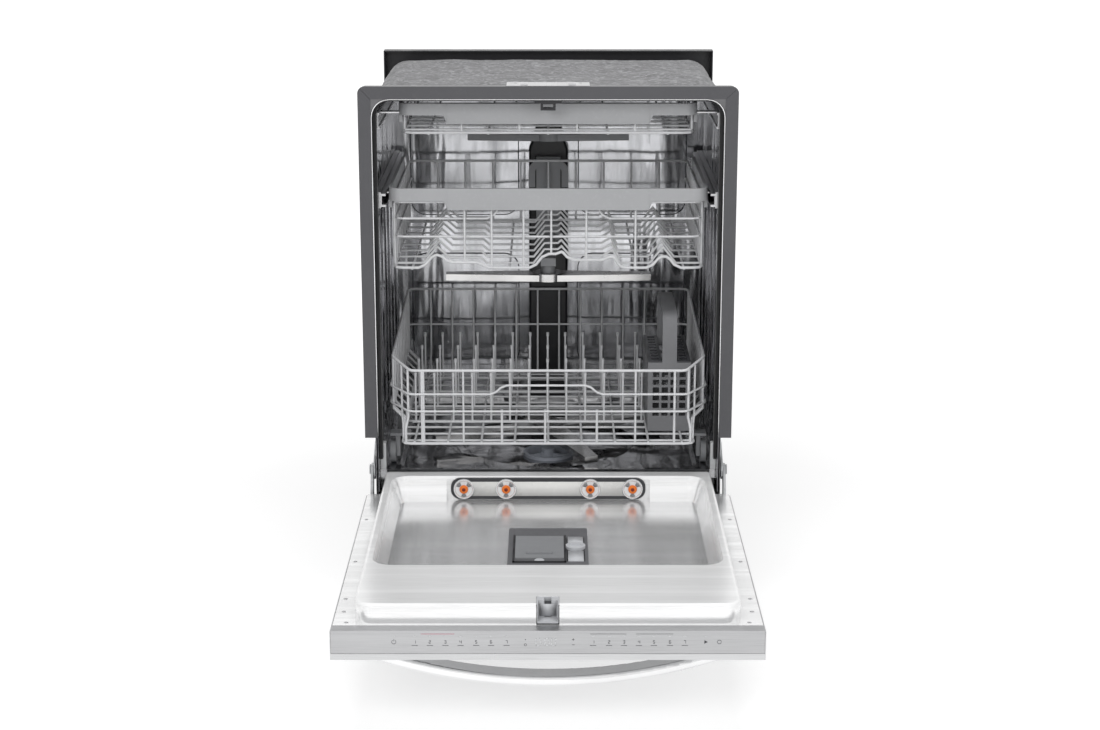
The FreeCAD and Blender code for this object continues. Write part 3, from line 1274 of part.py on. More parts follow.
def make_cutlery_basket():
    """Plastic basket with slotted walls, two lids and a tall handle."""
    x = ("basket_left", "basket_left + basket_width")
    y = (back("lower_front + basket_front"), back("lower_front + basket_front + basket_length"))
    low = f"(lower_floor + {LAYER + ROD / 2} + gap)"
    high = f"({low} + basket_tall)"
    inside_x = (f"{x[0]} + basket_wall", f"{x[1]} - basket_wall")
    inside_y = (f"{y[0]} + basket_wall", f"{y[1]} - basket_wall")
    basket = body("basket_shell")
    pad(basket, "XY_Plane", (low, high), lambda item: rectangle(item, x, y))
    pocket(basket, "XY_Plane", (f"{low} + basket_wall", high),
           lambda item: rectangle(item, inside_x, inside_y))

    storey_high = "((basket_tall - 38) / 6)"

    def windows(item, start, length, columns, storey):
        step = f"(({length} - 12) / {columns})"
        sill = f"({low} + 26 + {storey} * {storey_high})"
        for column in range(columns):
            left = f"({start} + 6 + {column} * {step} + 2)"
            rectangle(item, (left, f"{left} + {step} - 4"), (sill, f"{sill} + {storey_high} - 4"))

    for storey in range(6):
        pocket(basket, "XZ_Plane", (f"{y[0]} - 1", f"{y[1]} + 1"),
               lambda item: windows(item, x[0], "basket_width", 4, storey))
        pocket(basket, "YZ_Plane", (f"{x[0]} - 1", f"{x[1]} + 1"),
               lambda item: windows(item, y[0], "basket_length", 7, storey))
    centre = "(basket_left + basket_width / 2)"
    handle_x = middle("basket_handle_wide", centre)
    handle = body("basket_handle")
    top = f"({high} + basket_handle_tall)"
    foot = f"({high} - 12)"
    grip_y = (f"({y[0]} + 9)", f"({y[1]} - 9)")
    pad(handle, "YZ_Plane", handle_x, lambda item: outline(item, [
        (y[0], foot), (y[0], top), (y[1], top), (y[1], foot), (grip_y[1], foot),
        (grip_y[1], f"{top} - 9"), (grip_y[0], f"{top} - 9"), (grip_y[0], foot)],
        {1: "24", 2: "24", 5: "15", 6: "15"}))
    finish(fuse("basket_whole", basket, handle), "cutlery_basket")

    lid_z = (f"{high} + gap", f"{high} + gap + lid_thick")
    wide = "(basket_width / 2 - basket_handle_wide / 2 - gap)"
    for side, outer, inner in (("left", x[0], f"({x[0]} + {wide})"), ("right", x[1], f"({x[1]} - {wide})")):
        lid = body(f"basket_lid_{side}")
        knuckle = f"({outer} + lid_thick / 2)" if side == "left" else f"({outer} - lid_thick / 2)"
        plate_x = (knuckle, inner) if side == "left" else (inner, knuckle)
        pad(lid, "XY_Plane", lid_z, lambda item: rectangle(item, plate_x, y))
        pad(lid, "XZ_Plane", y,
            lambda item: circle(item, knuckle, f"{lid_z[0]} + lid_thick / 2", "lid_thick / 2"))
        step = "((basket_length - 12) / 9)"

        def slots(item):
            for number in range(9):
                start = f"({y[0]} + 6 + {number} * {step} + 4)"
                rectangle(item, (f"{plate_x[0]} + 5", f"{plate_x[1]} - 5"), (start, f"{start} + {step} - 8"))

        pocket(lid, "XY_Plane", lid_z, slots)
        finish(lid, f"basket_lid_{side}")


# The upper rack's floor wires rise between the cups: places across the rack and heights above its floor.
WAVE = ((-205, 0), (-182, 27), (-162, 9), (-111, 9), (-101, 0), (-24, 0), (-6, 23), (16, 23), (22, 28),
        (35, 13), (90, 13), (106, 22), (118, 0), (167, 0), (189, 27), (210, 0))
WAVE_LOWS = (-222, -63, 142, 222)       # where the wires along the rack lie
UPPER_TALL = (-136, -92, -40, 5, 62, 142)   # front uprights
UPPER_STEP = (-92, -78, 78, 92)         # where the front's upper level wire steps up and down


def rise_at(wave, x):
    """Height of the waved wires at a place between two of their corners."""
    for (left, low), (right, high) in zip(wave, wave[1:]):
        if left <= x <= right:
            return low + (high - low) * (x - left) / (right - left)
    return 0


def make_upper_rack():
    """Wire rack under a plastic band, with a waved floor that carries cups and glasses."""
    reach = "(band_thick + gap + wire_thick / 2)"
    half = mm(f"band_width / 2 - {reach}")
    share = half / 251.4
    front = mm(back(f"band_front + {reach}"))
    rear = mm(back("upper_back"))
    rim = mm("band_low") + 12
    bend = mm("bend_radius")
    floor = mm("upper_floor")
    base = floor + RIM / 2 + CLEAR
    low, high = mm("upper_low"), mm("upper_rim")
    pitch = mm("upper_pitch")
    foot = Foot(half, front, rear, bend)
    wave = [(x * share, rise) for x, rise in WAVE]

    front_end = (half, front + 2 * bend, rim)
    rear_end = (half, rear - 2 * bend, rim)
    front_path = [(-half, front + 2 * bend, rim), (-half, front, rim), (half, front, rim), front_end]
    up_from, up_to, down_from, down_to = (x * share for x in UPPER_STEP)
    raised = high + 21
    stepped = [*level(front_path[:2], high), (up_from, front, high), (up_to, front, raised),
               (down_from, front, raised), (down_to, front, high), *level(front_path[2:], high)]
    pieces = [wire(front_path, RIM), wire(beside(stepped, -ROD - CLEAR), ROD),
              wire(beside(level(front_path, low), -ROD - CLEAR), ROD)]
    pieces += [foot.upright((x, front + 2 * bend - 5, rim), base, RIM - POST_SLIM) for x in (-half, half)]
    for place in UPPER_TALL:
        x = place * share
        pieces.append(foot.upright((x, front, rim), base + rise_at(wave, x), ROD))
    front_piece = weld(pieces)
    side_path = [front_end, rear_end]
    side_posts = [(half, front_end[1] + 5, rim), (half, rear_end[1] - 5, rim)]
    side = fence(side_path, foot, base, [level(side_path, z) for z in (low, high)], side_posts,
                 between(*side_path, pitch), -1)
    rear_corner, rear_other = (half, rear, rim), (-half, rear, rim)
    rear_path = [rear_end, rear_corner, rear_other, (-half, rear_end[1], rim)]
    rear_posts = [(x, rear_end[1] + 5, rim) for x in (half, -half)]
    rear_piece = fence(rear_path, foot, base, [level(rear_path, low)], rear_posts,
                       between(rear_corner, rear_other, pitch * 1.2), -1)

    start = WAVE_LOWS[1] * share
    front_edge = [(x, front, rise) for x, rise in wave]
    right_edge = [spot for spot in front_edge if spot[0] > start]
    left_edge = [spot for spot in front_edge if spot[0] < start]
    loop = [(start, front, 0), *right_edge, (half, front, 0), (half, rear, 0),
            (-half, rear, 0), (-half, front, 0), *left_edge, (start, front, 0)]
    rows = spaced(front + 30, rear - 30, pitch * 1.25)
    floor_piece = grating(loop, floor, [x * share for x in WAVE_LOWS], rows, wave)
    from_shape("upper_rack_frame", Part.makeCompound(
        [front_piece, side, side.mirror(Vector(), Vector(1, 0, 0)), rear_piece, floor_piece]))

    make_band("upper_rack_band", "band_width", (back("band_front"), back("band_front + band_deep")),
              ("band_low", "band_high"))

    riser_y = (back("tub_depth - duct_deep - 12 - gap"), back("tub_depth - duct_deep - gap"))
    run_z = ("middle_arm_low + 27", "middle_arm_low + 41")
    run = box("duct_run", middle("26"), (f"{ARM_Y} - 20", riser_y[1]), run_z)
    riser = box("duct_riser", middle("44"), riser_y, ("middle_arm_low + 27", "band_high - 18"))
    neck = rod("duct_neck", "z", "12", ("0", ARM_Y, "middle_arm_low + arm_tall + gap"), "27 - arm_tall - gap")
    hood = body("duct_hood")
    pad(hood, "XZ_Plane", (f"{riser_y[0]} - 6", f"{riser_y[0]} + 1"),
        lambda item: arch(item, "36", "upper_low + 8", "band_low + 12", "12", "22"))
    finish(fuse("upper_duct", run, riser, neck, hood), "upper_rack_duct")


def make_band(label, width, y, z):
    """A rack's plastic band: round its front, with a raised middle and shallower ends there."""
    band = body(label)
    x = middle(width)
    inner = middle(f"{width} - 2 * band_thick")
    inside = f"({y[0]} + band_thick)"
    pad(band, "XY_Plane", z, lambda item: outline(item, [
        (x[0], y[0]), (x[1], y[0]), (x[1], y[1]), (inner[1], y[1]), (inner[1], inside),
        (inner[0], inside), (inner[0], y[1]), (x[0], y[1])], {0: "20", 1: "20", 4: "15", 5: "15"}))
    pad(band, "XZ_Plane", (f"{y[0]} - cover_thick", f"{y[0]} + 1"),
        lambda item: rectangle(item, middle("2 * cover_half"), z))
    step_z = f"({z[0]} + band_step)"
    for side in ("-", ""):
        corners = [(f"{side}cover_half", z[0]), (f"{side}(cover_half + 6)", step_z),
                   (f"{side}({width} / 2 + 1)", step_z), (f"{side}({width} / 2 + 1)", z[0])]
        pocket(band, "XZ_Plane", (f"{y[0]} - cover_thick", f"{y[0]} + 24"),
               lambda item, corners=corners: polygon(item, corners))
    finish(band, label)


def make_third_rack():
    """Shallow top rack for flat ware with a plastic front."""
    reach = "(band_thick + gap + wire_thick / 2)"
    half = mm(f"third_band_width / 2 - {reach}")
    front = mm(back("third_front"))
    rear = mm(back("third_back"))
    rim = mm("third_rim")
    bend = mm("bend_radius")
    base = mm("third_floor") + RIM / 2 + CLEAR
    pitch = mm("third_pitch")
    foot = Foot(half, front, rear, bend)
    front_end = (half, front + 2 * bend, rim)
    rear_end = (half, rear - 2 * bend, rim)
    front_path = [(-half, front + 2 * bend, rim), (-half, front, rim), (half, front, rim), front_end]
    front_posts = [(x, front + 2 * bend - 5, rim) for x in (-half, half)]
    front_piece = fence(front_path, foot, base, [], front_posts,
                        between(front_path[1], front_path[2], pitch * 2))
    side_path = [front_end, rear_end]
    side_posts = [(half, front_end[1] + 5, rim), (half, rear_end[1] - 5, rim)]
    side = fence(side_path, foot, base, [], side_posts, between(*side_path, pitch * 2))
    rear_path = [rear_end, (half, rear, rim), (-half, rear, rim), (-half, rear_end[1], rim)]
    rear_posts = [(x, rear_end[1] + 5, rim) for x in (half, -half)]
    rear_piece = fence(rear_path, foot, base, [], rear_posts, between(rear_path[1], rear_path[2], pitch * 2))
    loop = closed_loop(half, front, rear)
    floor = grating(loop, mm("third_floor"), spaced(-half + 40, half - 40, pitch * 2),
                    spaced(front + 22, rear - 22, pitch))
    from_shape("third_rack_frame", Part.makeCompound(
        [front_piece, side, side.mirror(Vector(), Vector(1, 0, 0)), rear_piece, floor]))

    near = f"({back('third_front')} - {reach})"
    make_band("third_rack_band", "third_band_width", (near, f"({near} + 70)"),
              ("third_band_low", "third_band_high"))


def make_rails():
    """Telescopic rails of the upper two racks: a middle member and the rack's own runner on each side."""
    y = (back("rail_front"), back("rail_front + rail_length"))
    channel = f"({TUB_X} - gap - rail_stand - rail_thick)"
    outer = f"({channel} + rail_thick - 1.5 - gap)"
    inner = f"({channel} - 7.5)"
    member = body("upper_member")
    low = "upper_rail_low"
    pad(member, "XZ_Plane", y, lambda item: rectangle(
        item, (inner, outer), (f"{low} + 2 + gap", f"{low} + rail_high - 2 - gap")))
    pocket(member, "XZ_Plane", y, lambda item: rectangle(
        item, (inner, f"{inner} + 8"), (f"{low} + 4", f"{low} + rail_high - 4")))
    pair("upper_rail_members", member)
    runner("upper_rack_runners", "(band_width / 2 + gap)", (f"({inner} - gap)", f"({inner} + 8 - gap)"), y,
           (f"({low} + 4 + gap)", f"({low} + rail_high - 4 - gap)"))
    low = "third_rail_low"
    runner("third_rack_runners", "(third_band_width / 2 + gap)", (f"({channel} - gap)", f"({outer})"), y,
           (f"({low} + 2 + gap)", f"({low} + rail_high - 2 - gap)"))


def runner(label, rack_side, x, y, z):
    """A folded slide strip with three brackets to the rack; the strip runs inside its rail."""
    strip = cut(f"{label}_strip", box(f"{label}_bar", x, y, z),
                box(f"{label}_fold", (x[0], f"{x[1]} - sheet"), (f"{y[0]} - 1", f"{y[1]} + 1"),
                    (f"{z[0]} + sheet", f"{z[1]} - sheet")))
    brackets = []
    for number in range(3):
        near = f"({y[0]} + 40 + {number} * (rail_length - 100) / 2)"
        brackets.append(box(f"{label}_bracket_{number}", (rack_side, x[1]), (near, f"{near} + 20"),
                            (f"{z[1]} - sheet - 2", f"{z[1]} - sheet")))
    pair(label, fuse(f"{label}_whole", strip, *brackets))


def make_wash_arms():
    """Turning wash arms below the lower rack, the upper rack and the third rack."""
    def blade(item, length, wide, turn):
        ends = ((-length, -wide / 4), (0, -wide / 2), (length, -wide / 4),
                (length, wide / 4), (0, wide / 2), (-length, wide / 4))
        swing = Rotation(Vector(0, 0, 1), turn)
        places = [swing.multVec(Vector(x, y, 0)) for x, y in ends]
        polygon(item, [(f"{place.x:.3f}", f"({ARM_Y} + ({place.y:.3f}))") for place in places])

    arms = (("lower_wash_arm", "lower_arm_low", "lower_arm_radius", (20, 110)),
            ("middle_wash_arm", "middle_arm_low", "middle_arm_radius", (0,)),
            ("top_wash_arm", "duct_top + 4", "middle_arm_radius - 40", (0,)))
    for name, low, radius, turns in arms:
        arm = body(name)
        pad(arm, "XY_Plane", (low, f"{low} + arm_tall"),
            lambda item: circle(item, "0", ARM_Y, "arm_wide / 2 + 4"))
        for turn in turns:
            pad(arm, "XY_Plane", (low, f"{low} + arm_tall - 2"),
                lambda item, turn=turn: blade(item, mm(radius), mm("arm_wide"), turn))
        finish(arm, name)


make_front_frame()
make_tub()
make_skins()
make_lower_cabinet()
make_wash_system()
make_cabinet_fittings()
make_hinge_brackets()
make_door_skin()
make_door_liner()
make_door_front()
make_latch()
make_steam_bar()
make_dispenser()
make_door_carriers()
make_lower_rack()
make_lower_wheels()
make_cutlery_basket()
make_upper_rack()
make_third_rack()
make_rails()
make_wash_arms()


def check_and_export():
    doc.recompute()
    for item in doc.Objects:
        broken = [state for state in item.State if state in ("Invalid", "Error")]
        assert not broken, f"{item.Label}: {item.State}"
    os.makedirs("parts", exist_ok=True)
    for item in finished:
        shape = item.Shape
        assert not shape.isNull() and shape.isValid(), f"{item.Label} has no valid shape"
        shape.exportStep(f"parts/{item.Label}.step")
        print(f"{item.Label}: {len(shape.Solids)} solids, {shape.Volume / 1000:.0f} cm3")


check_and_export()
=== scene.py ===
import math

import bmesh
import bpy
from mathutils import Matrix, Vector, noise


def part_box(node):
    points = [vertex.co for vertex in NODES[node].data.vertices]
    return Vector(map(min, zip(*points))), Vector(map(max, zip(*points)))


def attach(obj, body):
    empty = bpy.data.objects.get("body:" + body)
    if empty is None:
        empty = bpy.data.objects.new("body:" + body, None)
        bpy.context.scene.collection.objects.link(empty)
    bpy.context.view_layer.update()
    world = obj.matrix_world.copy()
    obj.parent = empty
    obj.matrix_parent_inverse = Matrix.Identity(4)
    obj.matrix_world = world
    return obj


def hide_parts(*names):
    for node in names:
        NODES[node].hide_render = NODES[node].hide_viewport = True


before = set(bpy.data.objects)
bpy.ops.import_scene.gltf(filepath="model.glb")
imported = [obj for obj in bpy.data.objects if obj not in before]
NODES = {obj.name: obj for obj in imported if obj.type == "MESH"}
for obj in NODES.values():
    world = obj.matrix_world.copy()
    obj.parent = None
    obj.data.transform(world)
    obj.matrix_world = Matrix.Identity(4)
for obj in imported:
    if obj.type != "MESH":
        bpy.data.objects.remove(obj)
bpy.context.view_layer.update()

# Lengths are in metres, and the scales of textures in cycles per metre.

# ---------------------------------------------------------------- materials


def remapped(tree, source, low, high, start=0.0, end=1.0):
    """The source's start..end moved to low..high."""
    item = tree.nodes.new("ShaderNodeMapRange")
    for index, value in enumerate((start, end, low, high), start=1):
        item.inputs[index].default_value = value
    tree.links.new(source, item.inputs[0])
    return item.outputs[0]


class Finish:
    """A material whose nodes are wired from object coordinates."""

    def __init__(self, name, color, rough, metal=0.0):
        self.material = bpy.data.materials.new(name)
        self.material.use_nodes = True
        self.tree = self.material.node_tree
        self.shader = self.tree.nodes["Principled BSDF"]
        self.set("Base Color", (*color, 1.0))
        self.set("Roughness", rough)
        self.set("Metallic", metal)
        self.place = self.node("TexCoord").outputs["Object"]
        self.normal = None

    def set(self, socket, value):
        self.shader.inputs[socket].default_value = value

    def link(self, value, socket):
        self.tree.links.new(value, self.shader.inputs[socket])

    def node(self, kind, inputs=(), **settings):
        """A node with its settings; each input is a number or the output of another node."""
        item = self.tree.nodes.new(f"ShaderNode{kind}")
        for key, value in settings.items():
            setattr(item, key, value)
        for key, value in dict(inputs).items():
            if isinstance(value, bpy.types.NodeSocket):
                self.tree.links.new(value, item.inputs[key])
            else:
                item.inputs[key].default_value = value
        return item

    def noise(self, scale, detail=2.0, stretch=None, rough=0.5, twist=0.0):
        """Soft noise; stretch scales the coordinates apart on each axis."""
        place = self.place
        if stretch:
            place = self.node("Mapping", {"Vector": place, "Scale": stretch}).outputs[0]
        return self.node("TexNoise", {"Vector": place, "Scale": scale, "Detail": detail, "Roughness": rough,
                                      "Distortion": twist}).outputs[0]

    def cells(self, scale):
        """Outputs of a cell pattern: the distance to each cell's middle, and a random colour per cell."""
        return self.node("TexVoronoi", {"Vector": self.place, "Scale": scale}, feature="F1").outputs

    def tint(self, value, other, low=0.3, high=0.7):
        """Turns the colour towards another one where the value is high."""
        source = self.shader.inputs["Base Color"]
        first = source.links[0].from_socket if source.links else tuple(source.default_value)
        share = remapped(self.tree, value, 0.0, 1.0, low, high)
        mix = self.node("Mix", {0: share, 6: first, 7: (*other, 1.0)}, data_type="RGBA")
        self.link(mix.outputs[2], "Base Color")

    def shade(self, value, low, high, start=0.3, end=0.7):
        """Roughness from low to high along the value."""
        self.link(remapped(self.tree, value, low, high, start, end), "Roughness")

    def bump(self, value, height, strength=1.0):
        """Relief of a height, laid over what relief there is."""
        item = self.node("Bump", {"Height": value, "Distance": height, "Strength": strength})
        if self.normal:
            self.tree.links.new(self.normal, item.inputs["Normal"])
        self.normal = item.outputs[0]
        self.link(self.normal, "Normal")


def scaled(color, factor):
    return tuple(min(1.0, channel * factor) for channel in color)


def brushed(name, color, rough, along, waviness=0.0, depth=0.00004):
    """Steel ground along one axis, with long soft streaks and fine lines."""
    finish = Finish(name, color, rough, 1.0)
    stretch = [1.0, 1.0, 1.0]
    stretch["xyz".index(along)] = 0.02
    lines = finish.noise(900.0, 3.0, stretch)
    streaks = finish.noise(60.0, 2.0, stretch)
    clouds = finish.noise(3.0, 2.0)
    finish.tint(lines, scaled(color, 0.86), 0.42, 0.78)
    finish.tint(streaks, scaled(color, 1.1), 0.45, 0.75)
    finish.shade(clouds, rough * 0.8, rough * 1.25)
    if waviness:
        finish.bump(finish.noise(7.0, 1.0), waviness)
    finish.bump(lines, depth, 0.5)
    finish.set("Anisotropic", 0.35)
    return finish


def liner_steel(name, color, rough):
    """Ground steel of the door's liner; the raised strip behind the latch is finished matt."""
    finish = brushed(name, color, rough, "x", 0.0006)
    strip_foot, strip_top = 0.196, 0.207
    bright, matt = 0.72, 0.22
    height = finish.node("SeparateXYZ", {0: finish.place}).outputs["Z"]
    finish.link(remapped(finish.tree, height, bright, matt, strip_foot, strip_top), "Metallic")
    return finish


def hairlines(finish):
    """Marks of polishing, as all bright steel has them."""
    finish.bump(finish.noise(700.0, 2.0), 0.00002, 0.4)


def polished(name, color, rough, waviness, scale):
    """Bright steel whose slight waves bend what it mirrors."""
    finish = Finish(name, color, rough, 1.0)
    finish.tint(finish.noise(5.0, 3.0), scaled(color, 0.88))
    finish.shade(finish.noise(14.0, 4.0), rough * 0.7, rough * 1.5)
    finish.bump(finish.noise(scale, 1.5), waviness)
    hairlines(finish)
    return finish


def drawn(name, color, rough, dark):
    """Deep-drawn mirror steel: never quite flat, it breaks up what it mirrors into upright streaks. Its
    colour is darkened in clouds and upright streaks by the share dark: painted reflection.
    """
    finish = Finish(name, color, rough, 1.0)
    # Painted reflection: darker clouds, then darker upright streaks.
    finish.tint(finish.noise(6.0, 3.0), scaled(color, dark))
    finish.tint(finish.noise(38.0, 3.0, (1.0, 1.0, 0.16)), scaled(color, dark * 0.7), 0.5, 0.72)
    finish.shade(finish.noise(14.0, 4.0), rough * 0.7, rough * 1.4)
    finish.bump(finish.noise(4.5, 1.0, (1.0, 1.0, 0.5)), 0.02)
    finish.bump(finish.noise(26.0, 2.0, (1.0, 1.0, 0.18)), 0.0035)
    hairlines(finish)
    return finish


def moulded(name, color, rough, grain=0.00005):
    """Moulded plastic with a fine spark-eroded grain and faint flow marks."""
    finish = Finish(name, color, rough)
    finish.tint(finish.noise(11.0, 3.0), scaled(color, 0.94))
    finish.tint(finish.noise(160.0, 2.0), scaled(color, 1.05), 0.55, 0.8)
    finish.shade(finish.noise(30.0, 3.0), rough * 0.85, min(1.0, rough * 1.15))
    finish.bump(finish.cells(1400.0)[0], grain, 0.6)
    return finish


def coated_wire(name, color, rough):
    """Nylon dip coat on wire: even, slightly wavy, a little thicker in places."""
    finish = Finish(name, color, rough)
    finish.tint(finish.noise(40.0, 2.0), scaled(color, 0.9))
    finish.shade(finish.noise(90.0, 2.0), rough * 0.75, rough * 1.3)
    finish.bump(finish.noise(260.0, 2.0), 0.0001, 0.5)
    finish.set("Coat Weight", 0.35)
    finish.set("Coat Roughness", 0.15)
    return finish


def zinc(name, color, rough, metal):
    """Galvanised sheet with its spangle."""
    finish = Finish(name, color, rough, metal)
    gray = finish.node("RGBToBW", {0: finish.cells(110.0)["Color"]}).outputs[0]
    finish.tint(gray, scaled(color, 0.8), 0.2, 0.9)
    finish.tint(finish.noise(8.0, 3.0), scaled(color, 1.12), 0.5, 0.8)
    finish.shade(gray, 0.32, 0.52, 0.2, 0.8)
    finish.bump(gray, 0.00002, 0.4)
    return finish


def rubber(name, color, rough):
    finish = Finish(name, color, rough)
    finish.tint(finish.noise(50.0, 3.0), scaled(color, 1.7), 0.5, 0.8)
    finish.bump(finish.noise(900.0, 3.0), 0.00008, 0.7)
    finish.set("Sheen Weight", 0.15)
    return finish


def felt(name, color, rough):
    """Needled felt: matted grey fibres, pale and dark, with small pits."""
    finish = Finish(name, color, rough)
    fibres = finish.noise(110.0, 2.0, (0.8, 0.75, 1.0), 0.55, 1.3)
    clumps = finish.noise(85.0, 2.0, (0.8, 0.7, 1.0), 0.55, 1.3)
    finish.tint(fibres, (0.27, 0.27, 0.285), 0.48, 0.66)
    finish.tint(clumps, (0.04, 0.04, 0.045), 0.5, 0.68)
    finish.bump(fibres, 0.0012, 0.9)
    finish.bump(clumps, 0.0016, 0.6)
    finish.set("Sheen Weight", 0.3)
    return finish


LOOKS = {name: maker(name, *settings).material for name, maker, *settings in (
    ("door_face", brushed, (0.58, 0.584, 0.59), 0.3, "x"),
    ("liner", liner_steel, (0.87, 0.872, 0.875), 0.2),
    # The tub's walls and its back are one drawn steel in two copies: the walls darker as painted shade, the
    # back lighter as painted light.
    ("tub", drawn, (0.21, 0.211, 0.226), 0.1, 0.5),
    ("tub_rear", drawn, (0.55, 0.555, 0.575), 0.14, 0.88),
    ("tub_floor", polished, (0.46, 0.46, 0.47), 0.1, 0.008, 12.0),
    # The flange's steel: its own dark grey, darkened further as painted shade; its inner edge has a bright
    # copy as a painted highlight.
    ("frame", brushed, (0.16, 0.16, 0.165), 0.35, "x"),
    # Bright copy of the flange's steel for its inner edge: a painted highlight.
    ("lip", polished, (0.85, 0.85, 0.86), 0.18, 0.0003, 60.0),
    ("trim", moulded, (0.07, 0.07, 0.076), 0.42),
    ("seal", rubber, (0.012, 0.012, 0.013), 0.62),
    ("black", moulded, (0.012, 0.012, 0.014), 0.4),
    ("dark", moulded, (0.035, 0.036, 0.04), 0.38),
    ("grey", moulded, (0.24, 0.245, 0.255), 0.4),
    ("pale", moulded, (0.5, 0.51, 0.53), 0.4),
    ("band", moulded, (0.36, 0.365, 0.375), 0.42),
    ("basket", moulded, (0.17, 0.172, 0.18), 0.45),
    ("lid", moulded, (0.03, 0.031, 0.036), 0.35),
    ("filter", moulded, (0.3, 0.32, 0.36), 0.35),
    ("wire", coated_wire, (0.64, 0.645, 0.66), 0.32),
    ("rail", brushed, (0.6, 0.6, 0.61), 0.3, "y"),
    ("zinc", zinc, (0.5, 0.51, 0.52), 0.42, 0.85),
    ("panel", brushed, (0.47, 0.472, 0.48), 0.42, "x", 0.0, 0.00002),
    ("handle", polished, (0.88, 0.88, 0.885), 0.2, 0.0002, 20.0),
    ("arm", polished, (0.62, 0.615, 0.61), 0.22, 0.002, 12.0),
    ("clear", moulded, (0.72, 0.73, 0.74), 0.12, 0.00002),
    ("chrome", polished, (0.8, 0.8, 0.81), 0.08, 0.0008, 120.0),
    ("plate", moulded, (0.69, 0.685, 0.67), 0.3),
    ("housing", moulded, (0.12, 0.121, 0.128), 0.42),
    ("felt", felt, (0.1, 0.1, 0.105), 0.95),
    ("print", moulded, (0.06, 0.062, 0.068), 0.5, 0.00001),
    ("lamp", moulded, (0.62, 0.63, 0.64), 0.3, 0.00001),
    ("accent", moulded, (0.55, 0.12, 0.2), 0.5, 0.00001),
    ("orange", moulded, (0.75, 0.17, 0.02), 0.3, 0.00002),
    # Dark red-brown for the nozzles' bores: painted shade.
    ("mouth", moulded, (0.16, 0.012, 0.006), 0.35, 0.00002),
)}
WEARS = {
    "door_face": ["door_outer_panel"],
    "liner": ["door_inner_liner"],
    # The tub's walls wear the shaded copy of its steel and the back the lit copy: painted shade and painted
    # light.
    "tub": ["tub_wrapper"],
    "tub_rear": ["tub_back"],
    "tub_floor": ["tub_floor", "filter_plate"],
    # The front frame wears the flange's steel darkened as painted shade.
    "frame": ["front_frame"],
    "trim": ["frame_trims"],
    "seal": ["door_gasket"],
    "black": ["rear_frame", "base_tray", "rear_duct", "terminal_box", "sump", "door_strike"],
    "dark": ["wash_pump", "drain_pump", "inlet_valve", "front_feet", "rear_feet", "latch_claw",
             "steam_bar"],
    "housing": ["dispenser_body"],
    "grey": ["top_wash_arm", "wheel_pair_1", "wheel_pair_2", "wheel_pair_3", "wheel_holders",
             "upper_rack_duct", "dispenser_lid"],
    "pale": ["rinse_aid_cap", "door_latch"],
    "band": ["upper_rack_band", "third_rack_band"],
    "basket": ["cutlery_basket"],
    "lid": ["basket_lid_left", "basket_lid_right"],
    "filter": ["filter_cup"],
    "wire": ["lower_rack_frame", "tine_row_1", "tine_row_2", "upper_rack_frame", "third_rack_frame"],
    "rail": ["rail_channels", "upper_rail_members", "upper_rack_runners", "third_rack_runners",
             "top_bracket"],
    "zinc": ["side_plates", "hinge_brackets", "hinge_arms", "kick_plate"],
    "panel": ["control_panel"],
    "handle": ["door_handle"],
    "arm": ["lower_wash_arm", "middle_wash_arm"],
    "clear": ["steam_nozzles", "corner_blocks"],
}
for look, names in WEARS.items():
    for name in names:
        mesh = NODES[name].data
        mesh.materials.clear()
        mesh.materials.append(LOOKS[look])

# ---------------------------------------------------------------- forms


def piece(name, build, look, body):
    """A mesh of its own that rides on a body."""
    mesh = bpy.data.meshes.new(name)
    shape = bmesh.new()
    build(shape)
    bmesh.ops.recalc_face_normals(shape, faces=shape.faces)
    shape.to_mesh(mesh)
    shape.free()
    item = bpy.data.objects.new(name, mesh)
    bpy.context.scene.collection.objects.link(item)
    mesh.materials.append(LOOKS[look])
    for face in mesh.polygons:
        face.use_smooth = True
    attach(item, body)
    return item


def circle(radius, sides):
    """Points round a circle about the origin."""
    return [(radius * math.cos(2 * math.pi * k / sides), radius * math.sin(2 * math.pi * k / sides))
            for k in range(sides)]


def skin(shape, rings):
    """Closes a row of rings: walls from each to the next, and a cap on each end."""
    for first, second in zip(rings, rings[1:]):
        for k in range(len(first)):
            after = (k + 1) % len(first)
            shape.faces.new((first[k], first[after], second[after], second[k]))
    shape.faces.new(rings[0][::-1])
    shape.faces.new(rings[-1])


def skin_strip(shape, rings, count):
    """Closes a row of flat rings, each an outer line of points and an inner one back; its ends are strips."""
    for first, second in zip(rings, rings[1:]):
        for k in range(2 * count):
            after = (k + 1) % (2 * count)
            shape.faces.new((first[k], first[after], second[after], second[k]))
    for ends in (rings[0], rings[-1]):
        for k in range(count - 1):
            shape.faces.new((ends[k], ends[k + 1], ends[-k - 2], ends[-k - 1]))


def turned(shape, profile, place, facing, sides=32):
    """A lathe form: the profile gives radius and height along the way it faces."""
    move = Matrix.Translation(place) @ Vector(facing).to_track_quat("Z", "Y").to_matrix().to_4x4()
    skin(shape, [[shape.verts.new(move @ Vector((x, y, height))) for x, y in circle(radius, sides)]
                 for radius, height in profile])


def slab(shape, outline, back, front):
    """A plate between two depths, from the points of its outline in X and Z."""
    skin(shape, [[shape.verts.new((x, y, z)) for x, z in outline] for y in (back, front)])


def block(shape, low, high):
    """A plain box between two corners."""
    made = bmesh.ops.create_cube(shape, size=1.0)
    for vert in made["verts"]:
        vert.co = [a + (b - a) * (part + 0.5) for a, b, part in zip(low, high, vert.co)]


